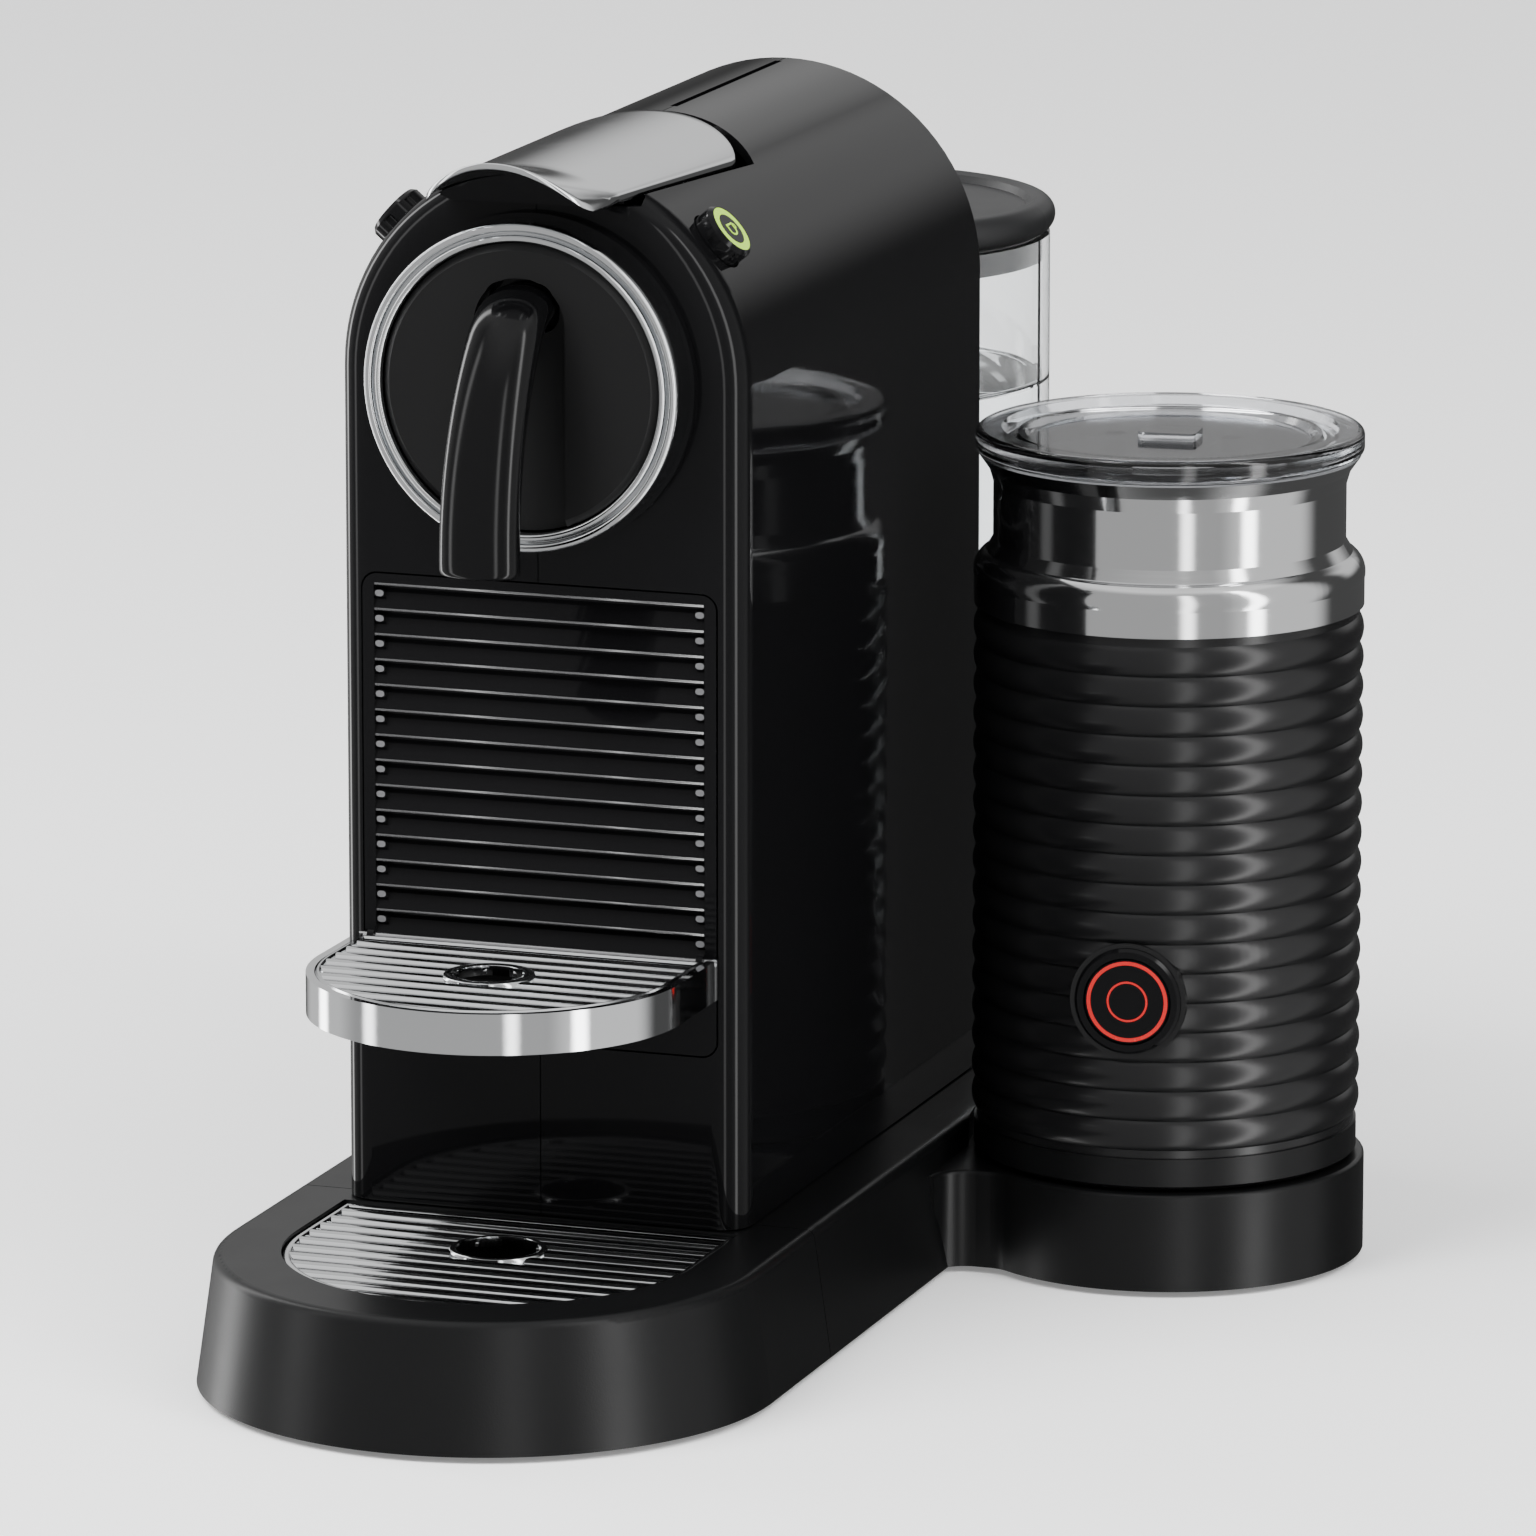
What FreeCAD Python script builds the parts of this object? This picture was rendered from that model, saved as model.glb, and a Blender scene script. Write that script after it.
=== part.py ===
import FreeCAD, Part

import os
from math import atan2, cos, pi, radians, sin, sqrt

import Sketcher

# A pod coffee machine with a milk frother beside it, in millimetres, +Z up.
# The machine's own axes are used throughout: x = 0 is its centre line, y = 0 its front face and
# z = 0 the table. shift_x and shift_y then move every part so that the origin of the finished
# assembly is the middle of its footprint. +Y points to the back, where the water tank stands.

SIZES = {
    # placing
    "shift_x": -44.5,
    "shift_y": -87.5,
    # casing: a tunnel, flat sides below and a half circle on top
    "body_half": 49.5,
    "body_foot": 32.0,
    "arch_z": 228.5,
    "body_deep": 172.5,
    "shell_wall": 2.5,
    "front_round": 7.5,
    "seam_half": 0.12,
    "slot_half": 0.9,
    "slot_front": 92,
    "slot_back": 167,
    # base
    "base_low": 68,
    "base_foot": 1.5,
    "base_top": 31.6,
    "base_draft": 8.1,
    "base_round": 2.4,
    "base_wall": 3,
    "front_turn": -32,
    "back_turn": 207,
    "split": 9.15,
    "split_gap": 0.15,
    "plinth_half": 46.7,
    "plinth_top": 33.4,
    # frother dock and the arm that joins it to the base
    "jug_x": 109.2,
    "jug_y": 135.5,
    "dock_radius": 47.8,
    "dock_top": 25,
    "arm_front": 97.5,
    "arm_back": 173,
    "arm_side": 66,
    "arm_fillet": 8,
    # drip tray and its grate
    "grate_half": 48.3,
    "grate_turn": -31,
    "grate_back": -1.2,
    "grate_low": 28.6,
    "grate_high": 31,
    "grate_rim": 2,
    "grate_gap": 5.4,
    "grate_pitch": 8.3,
    "grate_hole": 9.8,
    "hole_y": -28,
    "tub_floor": 5,
    # cup shelf
    "shelf_half": 44,
    "shelf_turn": -27,
    "shelf_back": -0.9,
    "shelf_low": 87,
    "shelf_high": 96.5,
    "shelf_skin": 2,
    "shelf_hinge_y": -2.6,
    "shelf_hinge_z": 95.9,
    "shelf_pin_radius": 0.9,
    "shelf_pitch": 8.3,
    "shelf_hole_y": -33,
    "shelf_hole": 8,
    # capsule drawer
    "panel_half": 43.2,
    "panel_low": 73,
    "panel_high": 181,
    "panel_thick": 4,
    "panel_round": 4,
    "slat_half": 40.4,
    "slat_first": 178.9,
    "slat_pitch": 5.92,
    "slat_deep": 2.4,
    "bin_half": 38,
    "bin_low": 76,
    "bin_high": 170,
    "bin_back": 92,
    "bin_wall": 1.8,
    # outlet: ring, disc and spout, about an axis along y at the arch's centre
    "housing_radius": 39,
    "ring_radius": 38,
    "ring_hole": 33.5,
    "ring_front": -12.3,
    "disc_front": -11.6,
    "recess_half": 11,
    "recess_top": 14.5,
    "spout_wide": 17,
    "spout_deep": 12,
    "spout_rise": 18.5,
    "spout_knee": -9,
    "spout_bend": 16,
    "spout_turn": 52,
    "spout_sweep": 75,
    "spout_low": -38.5,
    # lever
    "lever_out": 50.3,
    "lever_in": 48.2,
    "lever_nose": -7,
    "lever_back": 80.8,
    "lever_turn": 51.9,
    "lever_half_front": 22.6,
    "lever_half_back": 27.4,
    "lever_hinge_y": 79.5,
    "lever_hinge_z": 273.5,
    "lever_pin_radius": 1.2,
    "lever_gap": 0.7,
    "cut_back": 84.9,
    # buttons on the shoulders
    "button_y": 16.5,
    "button_lift": 40,
    "button_radius": 7,
    "button_out": 4.4,
    # brew unit
    "frame_half": 23.6,
    "frame_low": 198,
    "frame_high": 256,
    "frame_front": 4,
    "frame_back": 98,
    "pod_front": 31,
    "pod_back": 62,
    "cage_radius": 20,
    "pod_radius": 15.5,
    # water tank
    "tank_y": 223,
    "tank_radius": 48.5,
    "tank_wall": 2.2,
    "tank_low": 32,
    "tank_high": 227.9,
    "level_z": 192,
    "lid_radius": 49.8,
    "lid_top": 236.6,
    # frother jug
    "jug_turn": 6,
    "jug_low": 25.6,
    "jug_radius": 46.4,
    "rib_pitch": 7.13,
    "rib_deep": 1.3,
    "rib_low": 33.2,
    "sleeve_top": 158.5,
    "sleeve_in": 42.6,
    "neck_radius": 41.9,
    "bowl_radius": 40.4,
    "bowl_wall": 0.8,
    "bowl_floor": 80,
    "bowl_top": 193.6,
    "jug_lid_low": 195,
    "jug_lid_top": 200.7,
    "jug_button_z": 71.6,
    "jug_button_radius": 10.2,
    "bezel_radius": 12.7,
    "spindle_radius": 1.5,
    # inlet for a cord
    "gland_radius": 6.5,
    "cord_radius": 3.6,
    "gland_z": 14,
}

SLAT_COUNT = 14
RIB_COUNT = 17
DRIP_SLOTS = 9
SHELF_SLOTS = 7


class Size:
    """A number together with the sheet expression that gives it."""

    def __init__(self, value, text):
        self.value = float(value)
        self.text = text

    def __add__(self, other):
        other = size(other)
        return Size(self.value + other.value, f"({self.text} + {other.text})")

    def __sub__(self, other):
        other = size(other)
        return Size(self.value - other.value, f"({self.text} - {other.text})")

    def __mul__(self, other):
        other = size(other)
        return Size(self.value * other.value, f"({self.text} * {other.text})")

    def __truediv__(self, other):
        other = size(other)
        return Size(self.value / other.value, f"({self.text} / {other.text})")

    def __neg__(self):
        return Size(-self.value, f"(-1 * {self.text})")

    __radd__ = __add__
    __rmul__ = __mul__

    def __rsub__(self, other):
        return size(other) - self


def size(number):
    """The Size of a plain number or of a Size."""
    if isinstance(number, Size):
        return number
    return Size(number, f"({number})")


def root(square):
    return Size(sqrt(square.value), f"sqrt({square.text})")


def cosine(angle):
    return Size(cos(radians(angle.value)), f"cos({angle.text})")


def sine(angle):
    return Size(sin(radians(angle.value)), f"sin({angle.text})")


class Sheet:
    """The driving dimensions, as cells of the document's spreadsheet."""

    def __init__(self, doc, sizes):
        cells = doc.addObject("Spreadsheet::Sheet", "dims")
        for row, (name, value) in enumerate(sizes.items(), start=1):
            cells.set(f"A{row}", name)
            cells.set(f"B{row}", str(value))
            cells.setAlias(f"B{row}", name)
            setattr(self, name, Size(value, f"dims.{name}"))


doc = FreeCAD.newDocument("pod_coffee_machine")
s = Sheet(doc, SIZES)
doc.recompute()
subparts = []


# ---- helpers: bodies, outlines and features ---------------------------------------------------

def new_body(name, at=(0, 0, 0), axis=None, angle=0):
    """An empty body whose local origin is at `at` and which is turned by `angle` about `axis`."""
    body = doc.addObject("PartDesign::Body", name)
    body.Label = name
    place(body, at, axis, angle)
    subparts.append(body)
    return body


def place(item, at=(0, 0, 0), axis=None, angle=0):
    angle = size(angle)
    if axis is not None:
        turn = FreeCAD.Rotation(FreeCAD.Vector(*axis), angle.value)
        item.Placement = FreeCAD.Placement(FreeCAD.Vector(), turn)
        if angle.value:
            item.setExpression("Placement.Rotation.Angle", angle.text)
    item.setExpression("Placement.Base.x", (s.shift_x + at[0]).text)
    item.setExpression("Placement.Base.y", (s.shift_y + at[1]).text)
    item.setExpression("Placement.Base.z", size(at[2]).text)


def loop(*points):
    """A closed outline. A point (a, b) ends a straight side; (a, b, ca, cb, turn) ends an arc about
    (ca, cb), counterclockwise where turn is 1 and clockwise where it is -1."""
    return [tuple(size(number) for number in point) for point in points]


def box(a0, b0, a1, b1):
    return loop((a0, b0), (a1, b0), (a1, b1), (a0, b1))


def rounded(a0, b0, a1, b1, r):
    """A rectangle with rounded corners."""
    a0, b0, a1, b1, r = (size(number) for number in (a0, b0, a1, b1, r))
    return loop(
        (a0 + r, b0, a0 + r, b0 + r, 1),
        (a1 - r, b0),
        (a1, b0 + r, a1 - r, b0 + r, 1),
        (a1, b1 - r),
        (a1 - r, b1, a1 - r, b1 - r, 1),
        (a0 + r, b1),
        (a0, b1 - r, a0 + r, b1 - r, 1),
        (a0, b0 + r),
    )


def tongue(half, turn, back):
    """A tongue seen from above: straight sides from y = back, and a half circle about y = turn."""
    half, turn, back = size(half), size(turn), size(back)
    return loop((-half, turn), (half, turn, 0, turn, 1), (half, back), (-half, back))


def circle(a, b, r):
    return (size(a), size(b), size(r))


def draw_circle(sketch, ring):
    a, b, r = ring
    centre = FreeCAD.Vector(a.value, b.value, 0)
    geo = sketch.addGeometry(Part.Circle(centre, FreeCAD.Vector(0, 0, 1), r.value), False)
    fix_point(sketch, geo, 3, a, b)
    index = sketch.addConstraint(Sketcher.Constraint("Radius", geo, r.value))
    sketch.setExpression(f"Constraints[{index}]", r.text)


def fix_point(sketch, geo, end, a=None, b=None):
    for kind, number in (("DistanceX", a), ("DistanceY", b)):
        if number is not None:
            index = sketch.addConstraint(Sketcher.Constraint(kind, geo, end, number.value))
            sketch.setExpression(f"Constraints[{index}]", number.text)


def draw_loop(sketch, points, closed=True):
    """Lines and arcs through the points, each point held by its two distances from the origin."""
    ends = []
    for here, there in zip(points, points[1:] + (points[:1] if closed else [])):
        start = FreeCAD.Vector(here[0].value, here[1].value, 0)
        stop = FreeCAD.Vector(there[0].value, there[1].value, 0)
        if len(there) == 2:
            geo = sketch.addGeometry(Part.LineSegment(start, stop), False)
            ends.append((geo, 1, 2))
            continue
        centre = FreeCAD.Vector(there[2].value, there[3].value, 0)
        onward = there[4].value > 0
        first, last = (start, stop) if onward else (stop, start)
        angles = [atan2(end.y - centre.y, end.x - centre.x) for end in (first, last)]
        if angles[1] <= angles[0]:
            angles[1] += 2 * pi
        ring = Part.Circle(centre, FreeCAD.Vector(0, 0, 1), (start - centre).Length)
        geo = sketch.addGeometry(Part.ArcOfCircle(ring, *angles), False)
        ends.append((geo, 1, 2) if onward else (geo, 2, 1))
        chord = stop - start
        if abs(chord.x) > abs(chord.y):
            fix_point(sketch, geo, 3, b=there[3])
        else:
            fix_point(sketch, geo, 3, a=there[2])
    for index, (geo, first, _) in enumerate(ends):
        if closed or index:
            before, _, last = ends[index - 1]
            sketch.addConstraint(Sketcher.Constraint("Coincident", before, last, geo, first))
        fix_point(sketch, geo, first, points[index][0], points[index][1])
    if not closed:
        geo, _, last = ends[-1]
        fix_point(sketch, geo, last, points[-1][0], points[-1][1])


PLANES = {"x": "YZ_Plane", "y": "XZ_Plane", "z": "XY_Plane"}


def new_sketch(body, axis, at, outlines):
    """A sketch across `axis` at the height `at`. Its own axes are (x, y), (x, z) or (y, z)."""
    sketch = body.newObject("Sketcher::SketchObject", f"{body.Name}_sketch")
    origin = body.Origin.OriginFeatures
    sketch.AttachmentSupport = [(next(f for f in origin if f.Role == PLANES[axis]), "")]
    sketch.MapMode = "FlatFace"
    at = -size(at) if axis == "y" else size(at)
    sketch.AttachmentOffset = FreeCAD.Placement(FreeCAD.Vector(0, 0, at.value), FreeCAD.Rotation())
    sketch.setExpression("AttachmentOffset.Base.z", at.text)
    for outline in outlines:
        if isinstance(outline, tuple):
            draw_circle(sketch, outline)
        else:
            draw_loop(sketch, outline)
    return sketch


def set_size(item, name, number):
    number = size(number)
    setattr(item, name, number.value)
    item.setExpression(name, number.text)


def pad(body, axis, low, high, *outlines, draft=None):
    """Adds the outlines, filled from `low` to `high` along an axis."""
    low, high = size(low), size(high)
    sketch = new_sketch(body, axis, high if axis == "y" else low, outlines)
    feature = body.newObject("PartDesign::Pad", f"{body.Name}_pad")
    feature.Profile = sketch
    set_size(feature, "Length", high - low)
    if draft is not None:
        set_size(feature, "TaperAngle", -draft)
    return finish_feature(body, feature, sketch)


def cut(body, axis, low, high, *outlines):
    """Removes the outlines, filled from `low` to `high` along an axis."""
    low, high = size(low), size(high)
    before = body.Shape.Volume
    sketch = new_sketch(body, axis, low if axis == "y" else high, outlines)
    feature = body.newObject("PartDesign::Pocket", f"{body.Name}_pocket")
    feature.Profile = sketch
    set_size(feature, "Length", high - low)
    finish_feature(body, feature, sketch)
    if not body.Shape.Volume < before - 1e-3:
        raise RuntimeError(f"a pocket of {body.Label} removes nothing")
    return feature


def finish_feature(body, feature, sketch=None):
    if sketch is not None:
        sketch.Visibility = False
    body.Tip = feature
    doc.recompute()
    if "Invalid" in feature.State or "Error" in feature.State or feature.Shape.isNull():
        raise RuntimeError(f"{feature.Name} failed: {feature.getStatusString()}")
    return feature


def turned(body, axis, *outlines, groove=False):
    """Turns outlines about the body's own y or z axis. Their points are (y, r) or (r, z)."""
    sketch = new_sketch(body, "x" if axis == "y" else "y", 0, outlines)
    before = body.Shape.Volume if groove else 0
    kind = "PartDesign::Groove" if groove else "PartDesign::Revolution"
    feature = body.newObject(kind, f"{body.Name}_turned")
    feature.Profile = sketch
    feature.ReferenceAxis = (sketch, ["H_Axis" if axis == "y" else "V_Axis"])
    feature.Angle = 360
    finish_feature(body, feature, sketch)
    if groove and not body.Shape.Volume < before - 1e-3:
        raise RuntimeError(f"a groove of {body.Label} removes nothing")
    return feature


def dress(body, kind, amount, wanted):
    """Fillets ("Fillet") or chamfers ("Chamfer") the edges that `wanted` accepts."""
    base = body.Tip
    names = [f"Edge{i}" for i, edge in enumerate(base.Shape.Edges, start=1) if wanted(edge)]
    if not names:
        raise RuntimeError(f"{body.Label} has no edge for its {kind}")
    feature = body.newObject(f"PartDesign::{kind}", f"{body.Name}_{kind}")
    feature.Base = (base, names)
    set_size(feature, "Radius" if kind == "Fillet" else "Size", amount)
    return finish_feature(body, feature)


def level_at(edge, number, axis="z"):
    """True where the whole edge lies at one height of an axis."""
    ends = edge.BoundBox
    low, high = getattr(ends, f"{axis.upper()}Min"), getattr(ends, f"{axis.upper()}Max")
    return abs(low - size(number).value) < 0.01 and abs(high - size(number).value) < 0.01


# ---- base: removable drip tray in front, fixed base behind it, dock beside it -------------------

base_tall = s.base_top - s.base_foot
split_front = s.split - s.split_gap
split_back = s.split + s.split_gap


def drip_tray():
    body = new_body("drip_tray")
    pad(body, "z", s.base_foot, s.base_top, tongue(s.base_low, s.front_turn, 24),
        draft=s.base_draft)
    cut(body, "z", 0, s.base_top + 1, box(-80, split_front, 80, 30))

    def top_edge(edge):
        return level_at(edge, s.base_top) and not level_at(edge, split_front, "y")

    dress(body, "Fillet", s.base_round, top_edge)
    seat = tongue(s.grate_half + 0.4, s.grate_turn, s.grate_back + 0.6)
    cut(body, "z", s.grate_low - 0.4, s.base_top, seat)
    tub = tongue(s.grate_half - 3, s.grate_turn, s.grate_back - 2)
    cut(body, "z", s.tub_floor, s.grate_low - 0.4, tub)


def tray_feet():
    body = new_body("tray_feet")
    pad(body, "z", 0, s.base_foot, circle(-38, -58, 7), circle(38, -58, 7))


def grate(name, half, turn, back, low, high, count, pitch, hole_y, hole, proud):
    """A frame with bars across it, two ribs along it and a raised ring round the middle hole."""
    body = new_body(name)
    half, turn, back = size(half), size(turn), size(back)
    pad(body, "z", low, high, tongue(half, turn, back))
    inside = half - s.grate_rim
    slots = []
    for row in range(count):
        near = back - s.grate_rim - pitch * row
        far = near - s.grate_gap
        reach = turn - far
        wide = inside - 0.6
        if reach.value > 0:
            wide = root(inside * inside - reach * reach) - 0.6
        rib = half * 0.62
        if wide.value > rib.value + 3:
            slots.append(box(-wide, far, -rib - 1, near))
            slots.append(box(rib + 1, far, wide, near))
            wide = rib - 1
        slots.append(box(-wide, far, wide, near))
    cut(body, "z", low, high, *slots)
    pad(body, "z", low, size(high) + proud, circle(0, hole_y, hole + 2.4))
    cut(body, "z", low, size(high) + proud, circle(0, hole_y, hole))


def rear_base():
    body = new_body("rear_base")
    back_tongue = loop((-s.base_low, -6), (s.base_low, -6), (s.base_low, s.back_turn),
                       (-s.base_low, s.back_turn, 0, s.back_turn, 1))
    pad(body, "z", s.base_foot, s.base_top, back_tongue, draft=s.base_draft)
    cut(body, "z", 0, s.base_top + 1, box(-80, -20, 80, split_back))

    def top_edge(edge):
        return level_at(edge, s.base_top) and not level_at(edge, split_back, "y")

    dress(body, "Fillet", s.base_round, top_edge)
    pad(body, "z", s.base_foot, s.dock_top, arm_outline(), circle(s.jug_x, s.jug_y, 30))
    pad(body, "z", s.base_foot, s.dock_top, circle(s.jug_x, s.jug_y, s.dock_radius))

    def dock_edge(edge):
        return level_at(edge, s.dock_top) and edge.BoundBox.XMax > (s.jug_x + 40).value

    dress(body, "Fillet", 1, dock_edge)
    pad(body, "z", s.base_top - 1, s.plinth_top,
        box(-s.plinth_half, split_back, s.plinth_half, s.body_deep - 4))
    under = s.base_top - s.base_wall
    inner = s.base_low - s.base_wall - 4.6
    cut(body, "z", 0, under, loop((-inner, split_back + 3), (inner, split_back + 3),
                                  (inner, s.back_turn), (-inner, s.back_turn, 0, s.back_turn, 1)))
    cut(body, "z", 0, s.dock_top - s.base_wall,
        circle(s.jug_x, s.jug_y, s.dock_radius - s.base_wall))
    cut(body, "z", 0, s.dock_top - s.base_wall,
        box(inner - 2, s.arm_front + s.base_wall, s.jug_x, s.arm_back - s.base_wall))
    cut(body, "z", under - 1, s.plinth_top + 1, circle(-22, 130, 4))
    cut(body, "z", under - 1, s.base_top + 1, circle(0, s.tank_y, 9))
    cut(body, "y", s.back_turn + 50, s.back_turn + 80, circle(0, s.gland_z, s.gland_radius))
    cut(body, "z", s.dock_top, s.plinth_top + 1, circle(s.jug_x, s.jug_y, s.jug_radius + 0.7))


def arm_corner(edge, side):
    """Where one edge of the bridge ends and its hollow fillet runs on to the round dock."""
    turn = edge - s.arm_fillet * side
    drop = s.jug_y - turn
    reach = s.dock_radius + s.arm_fillet
    ahead = s.jug_x - root(reach * reach - drop * drop)
    share = s.arm_fillet / reach
    touch = (ahead + (s.jug_x - ahead) * share, turn + drop * share)
    return turn, ahead, touch


def arm_outline():
    """The bridge from the base to the dock, with a hollow fillet at each of its four corners."""
    inner_x = s.arm_side + s.arm_fillet
    front_turn, front_ahead, front_touch = arm_corner(s.arm_front, 1)
    back_turn, back_ahead, back_touch = arm_corner(s.arm_back, -1)
    return loop(
        (s.arm_side - 6, front_turn),
        (s.arm_side, front_turn),
        (inner_x, s.arm_front, inner_x, front_turn, -1),
        (front_ahead, s.arm_front),
        (front_touch[0], front_touch[1], front_ahead, front_turn, -1),
        (s.jug_x, s.jug_y - 20),
        (s.jug_x, s.jug_y + 20),
        (back_touch[0], back_touch[1]),
        (back_ahead, s.arm_back, back_ahead, back_turn, -1),
        (inner_x, s.arm_back),
        (s.arm_side, back_turn, inner_x, back_turn, -1),
        (s.arm_side - 6, back_turn))


def base_cover_plate():
    body = new_body("base_cover_plate")
    inner = s.base_low - s.base_wall - 4.9
    back_tongue = loop((-inner, split_back + 3.3), (inner, split_back + 3.3),
                       (inner, s.back_turn), (-inner, s.back_turn, 0, s.back_turn, 1))
    pad(body, "z", s.base_foot, s.base_foot + 2, back_tongue)
    pad(body, "z", s.base_foot, s.base_foot + 2,
        circle(s.jug_x, s.jug_y, s.dock_radius - s.base_wall - 0.3))
    pad(body, "z", s.base_foot, s.base_foot + 2,
        box(inner - 3, s.arm_front + s.base_wall + 0.3, s.jug_x, s.arm_back - s.base_wall - 0.3))
    cut(body, "z", 0, s.base_foot + 3, *(circle(x, y, 1.7) for x, y in SCREW_PLACES))


FOOT_PLACES = ((-50, 26), (50, 26), (-44, 232), (44, 232), (128, 112), (128, 159))
SCREW_PLACES = ((-40, 40), (40, 40), (-40, 190), (40, 190), (109, 108))


def rubber_feet():
    body = new_body("rubber_feet")
    pad(body, "z", 0, s.base_foot, *(circle(x, y, 8) for x, y in FOOT_PLACES))


def base_screws():
    body = new_body("base_screws")
    pad(body, "z", s.base_foot, s.base_foot + 9, *(circle(x, y, 1.5) for x, y in SCREW_PLACES))
    pad(body, "z", s.base_foot - 0.9, s.base_foot, *(circle(x, y, 3) for x, y in SCREW_PLACES))


# ---- casing --------------------------------------------------------------------------------------

def arch(half, foot, gap):
    """Half of the tunnel's outline, to the right of x = gap."""
    return loop((gap, foot), (half, foot), (half, s.arch_z),
                (gap, s.arch_z + root(half * half - gap * gap), 0, s.arch_z, 1))


def mirrored(points):
    """The same outline on the other side of x = 0."""
    turned_over = []
    for point in points:
        flipped = (-point[0], point[1])
        if len(point) > 2:
            flipped += (-point[2], point[3], -point[4])
        turned_over.append(flipped)
    return turned_over


def side_shell(name, side):
    body = new_body(name)

    def sided(points):
        return points if side > 0 else mirrored(points)

    pad(body, "y", 0, s.body_deep, sided(arch(s.body_half, s.body_foot, s.seam_half)))

    def front_edge(edge):
        box_of = edge.BoundBox
        reach = max(abs(box_of.XMin), abs(box_of.XMax))
        return level_at(edge, 0, "y") and reach > 49 and box_of.ZMax > 40

    dress(body, "Fillet", s.front_round, front_edge)
    inner = s.body_half - s.shell_wall
    cut(body, "y", s.shell_wall + 2, s.body_deep + 1, sided(arch(inner, s.body_foot, 0)))
    core = inner - 2.6
    cut(body, "y", s.shell_wall, s.shell_wall + 2, sided(arch(core, s.body_foot, 0)))
    cut(body, "y", -1, 9, rounded(-s.panel_half - 0.4, s.panel_low - 0.4, s.panel_half + 0.4,
                                  s.panel_high + 0.4, s.panel_round))
    cut(body, "y", -1, 5, circle(0, s.arch_z, s.housing_radius - 3))
    cut(body, "z", s.arch_z + 30, s.arch_z + 60, lever_outline(s.lever_gap, 5, s.cut_back))
    notch = s.lever_half_front + s.lever_gap * 2.6
    cut(body, "z", s.arch_z + 41, s.arch_z + 60, box(-notch, -1, notch, 6))
    cut(body, "z", s.arch_z + 40, s.arch_z + 60,
        box(-s.slot_half, s.slot_front, s.slot_half, s.slot_back))
    button_hole(body, side)


def lever_outline(gap, front, back):
    """The lever from above: flaring sides, and an arc about (0, lever_turn) behind."""
    back_half = s.lever_half_back + gap
    radius = size(back) - s.lever_turn
    side_y = s.lever_turn + root(radius * radius - back_half * back_half)
    share = (size(front) - s.lever_nose) / (side_y - s.lever_nose)
    front_half = s.lever_half_front + gap + (s.lever_half_back - s.lever_half_front) * share
    return loop((-front_half, front), (front_half, front), (back_half, side_y),
                (-back_half, side_y, 0, s.lever_turn, 1))


def button_hole(body, side):
    """A round hole across the shoulder, square to the arch."""
    before = body.Shape.Volume
    reach = s.body_half - 8
    lift = s.button_lift if side > 0 else 180 - s.button_lift
    centre_y = s.button_y
    centre_z = s.arch_z + reach * sine(lift)
    out = reach * cosine(lift)
    sketch = new_sketch(body, "x", 0, [circle(0, 0, s.button_radius + 0.4)])
    turn = FreeCAD.Rotation(FreeCAD.Vector(-1, 0, 0), lift.value)
    sketch.AttachmentOffset = FreeCAD.Placement(FreeCAD.Vector(), turn)
    for name, number in (("x", centre_y), ("y", centre_z), ("z", out)):
        sketch.setExpression(f"AttachmentOffset.Base.{name}", number.text)
    sketch.setExpression("AttachmentOffset.Rotation.Angle", lift.text)
    feature = body.newObject("PartDesign::Pocket", f"{body.Name}_button_hole")
    feature.Profile = sketch
    feature.Reversed = True
    set_size(feature, "Length", 20)
    finish_feature(body, feature, sketch)
    if not body.Shape.Volume < before - 1e-3:
        raise RuntimeError(f"the button hole of {body.Label} removes nothing")


def back_panel():
    body = new_body("back_panel")
    half = s.body_half - s.shell_wall - 0.3
    whole = loop((-half, s.plinth_top), (half, s.plinth_top), (half, s.arch_z),
                 (-half, s.arch_z, 0, s.arch_z, 1))
    pad(body, "y", s.body_deep - 4, s.body_deep - 1.2, whole)
    vents = [rounded(-26, 96 + 9 * row, 26, 100 + 9 * row, 1.9) for row in range(8)]
    cut(body, "y", s.body_deep - 6, s.body_deep, *vents)


for build in (drip_tray, tray_feet, rear_base, base_cover_plate, rubber_feet, base_screws):
    build()
grate("drip_grate", s.grate_half, s.grate_turn, s.grate_back, s.grate_low, s.grate_high,
      DRIP_SLOTS, s.grate_pitch, s.hole_y, s.grate_hole, 0.3)
side_shell("side_shell_right", 1)
side_shell("side_shell_left", -1)
back_panel()


# ---- outlet: every part turns about an axis along y, at the arch's centre ------------------------

def outlet_body(name):
    return new_body(name, at=(0, 0, s.arch_z))


def outlet_housing():
    body = outlet_body("outlet_housing")
    turned(body, "y", loop((-2.6, 12), (-2.6, s.housing_radius), (0, s.housing_radius),
                           (0, s.housing_radius - 3.2), (3.6, s.housing_radius - 3.2), (3.6, 12)))
    turned(body, "y", loop((-6.2, 15), (-6.2, s.ring_hole - 1.2), (-2.6, s.ring_hole - 1.2),
                           (-2.6, 15)))


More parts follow.
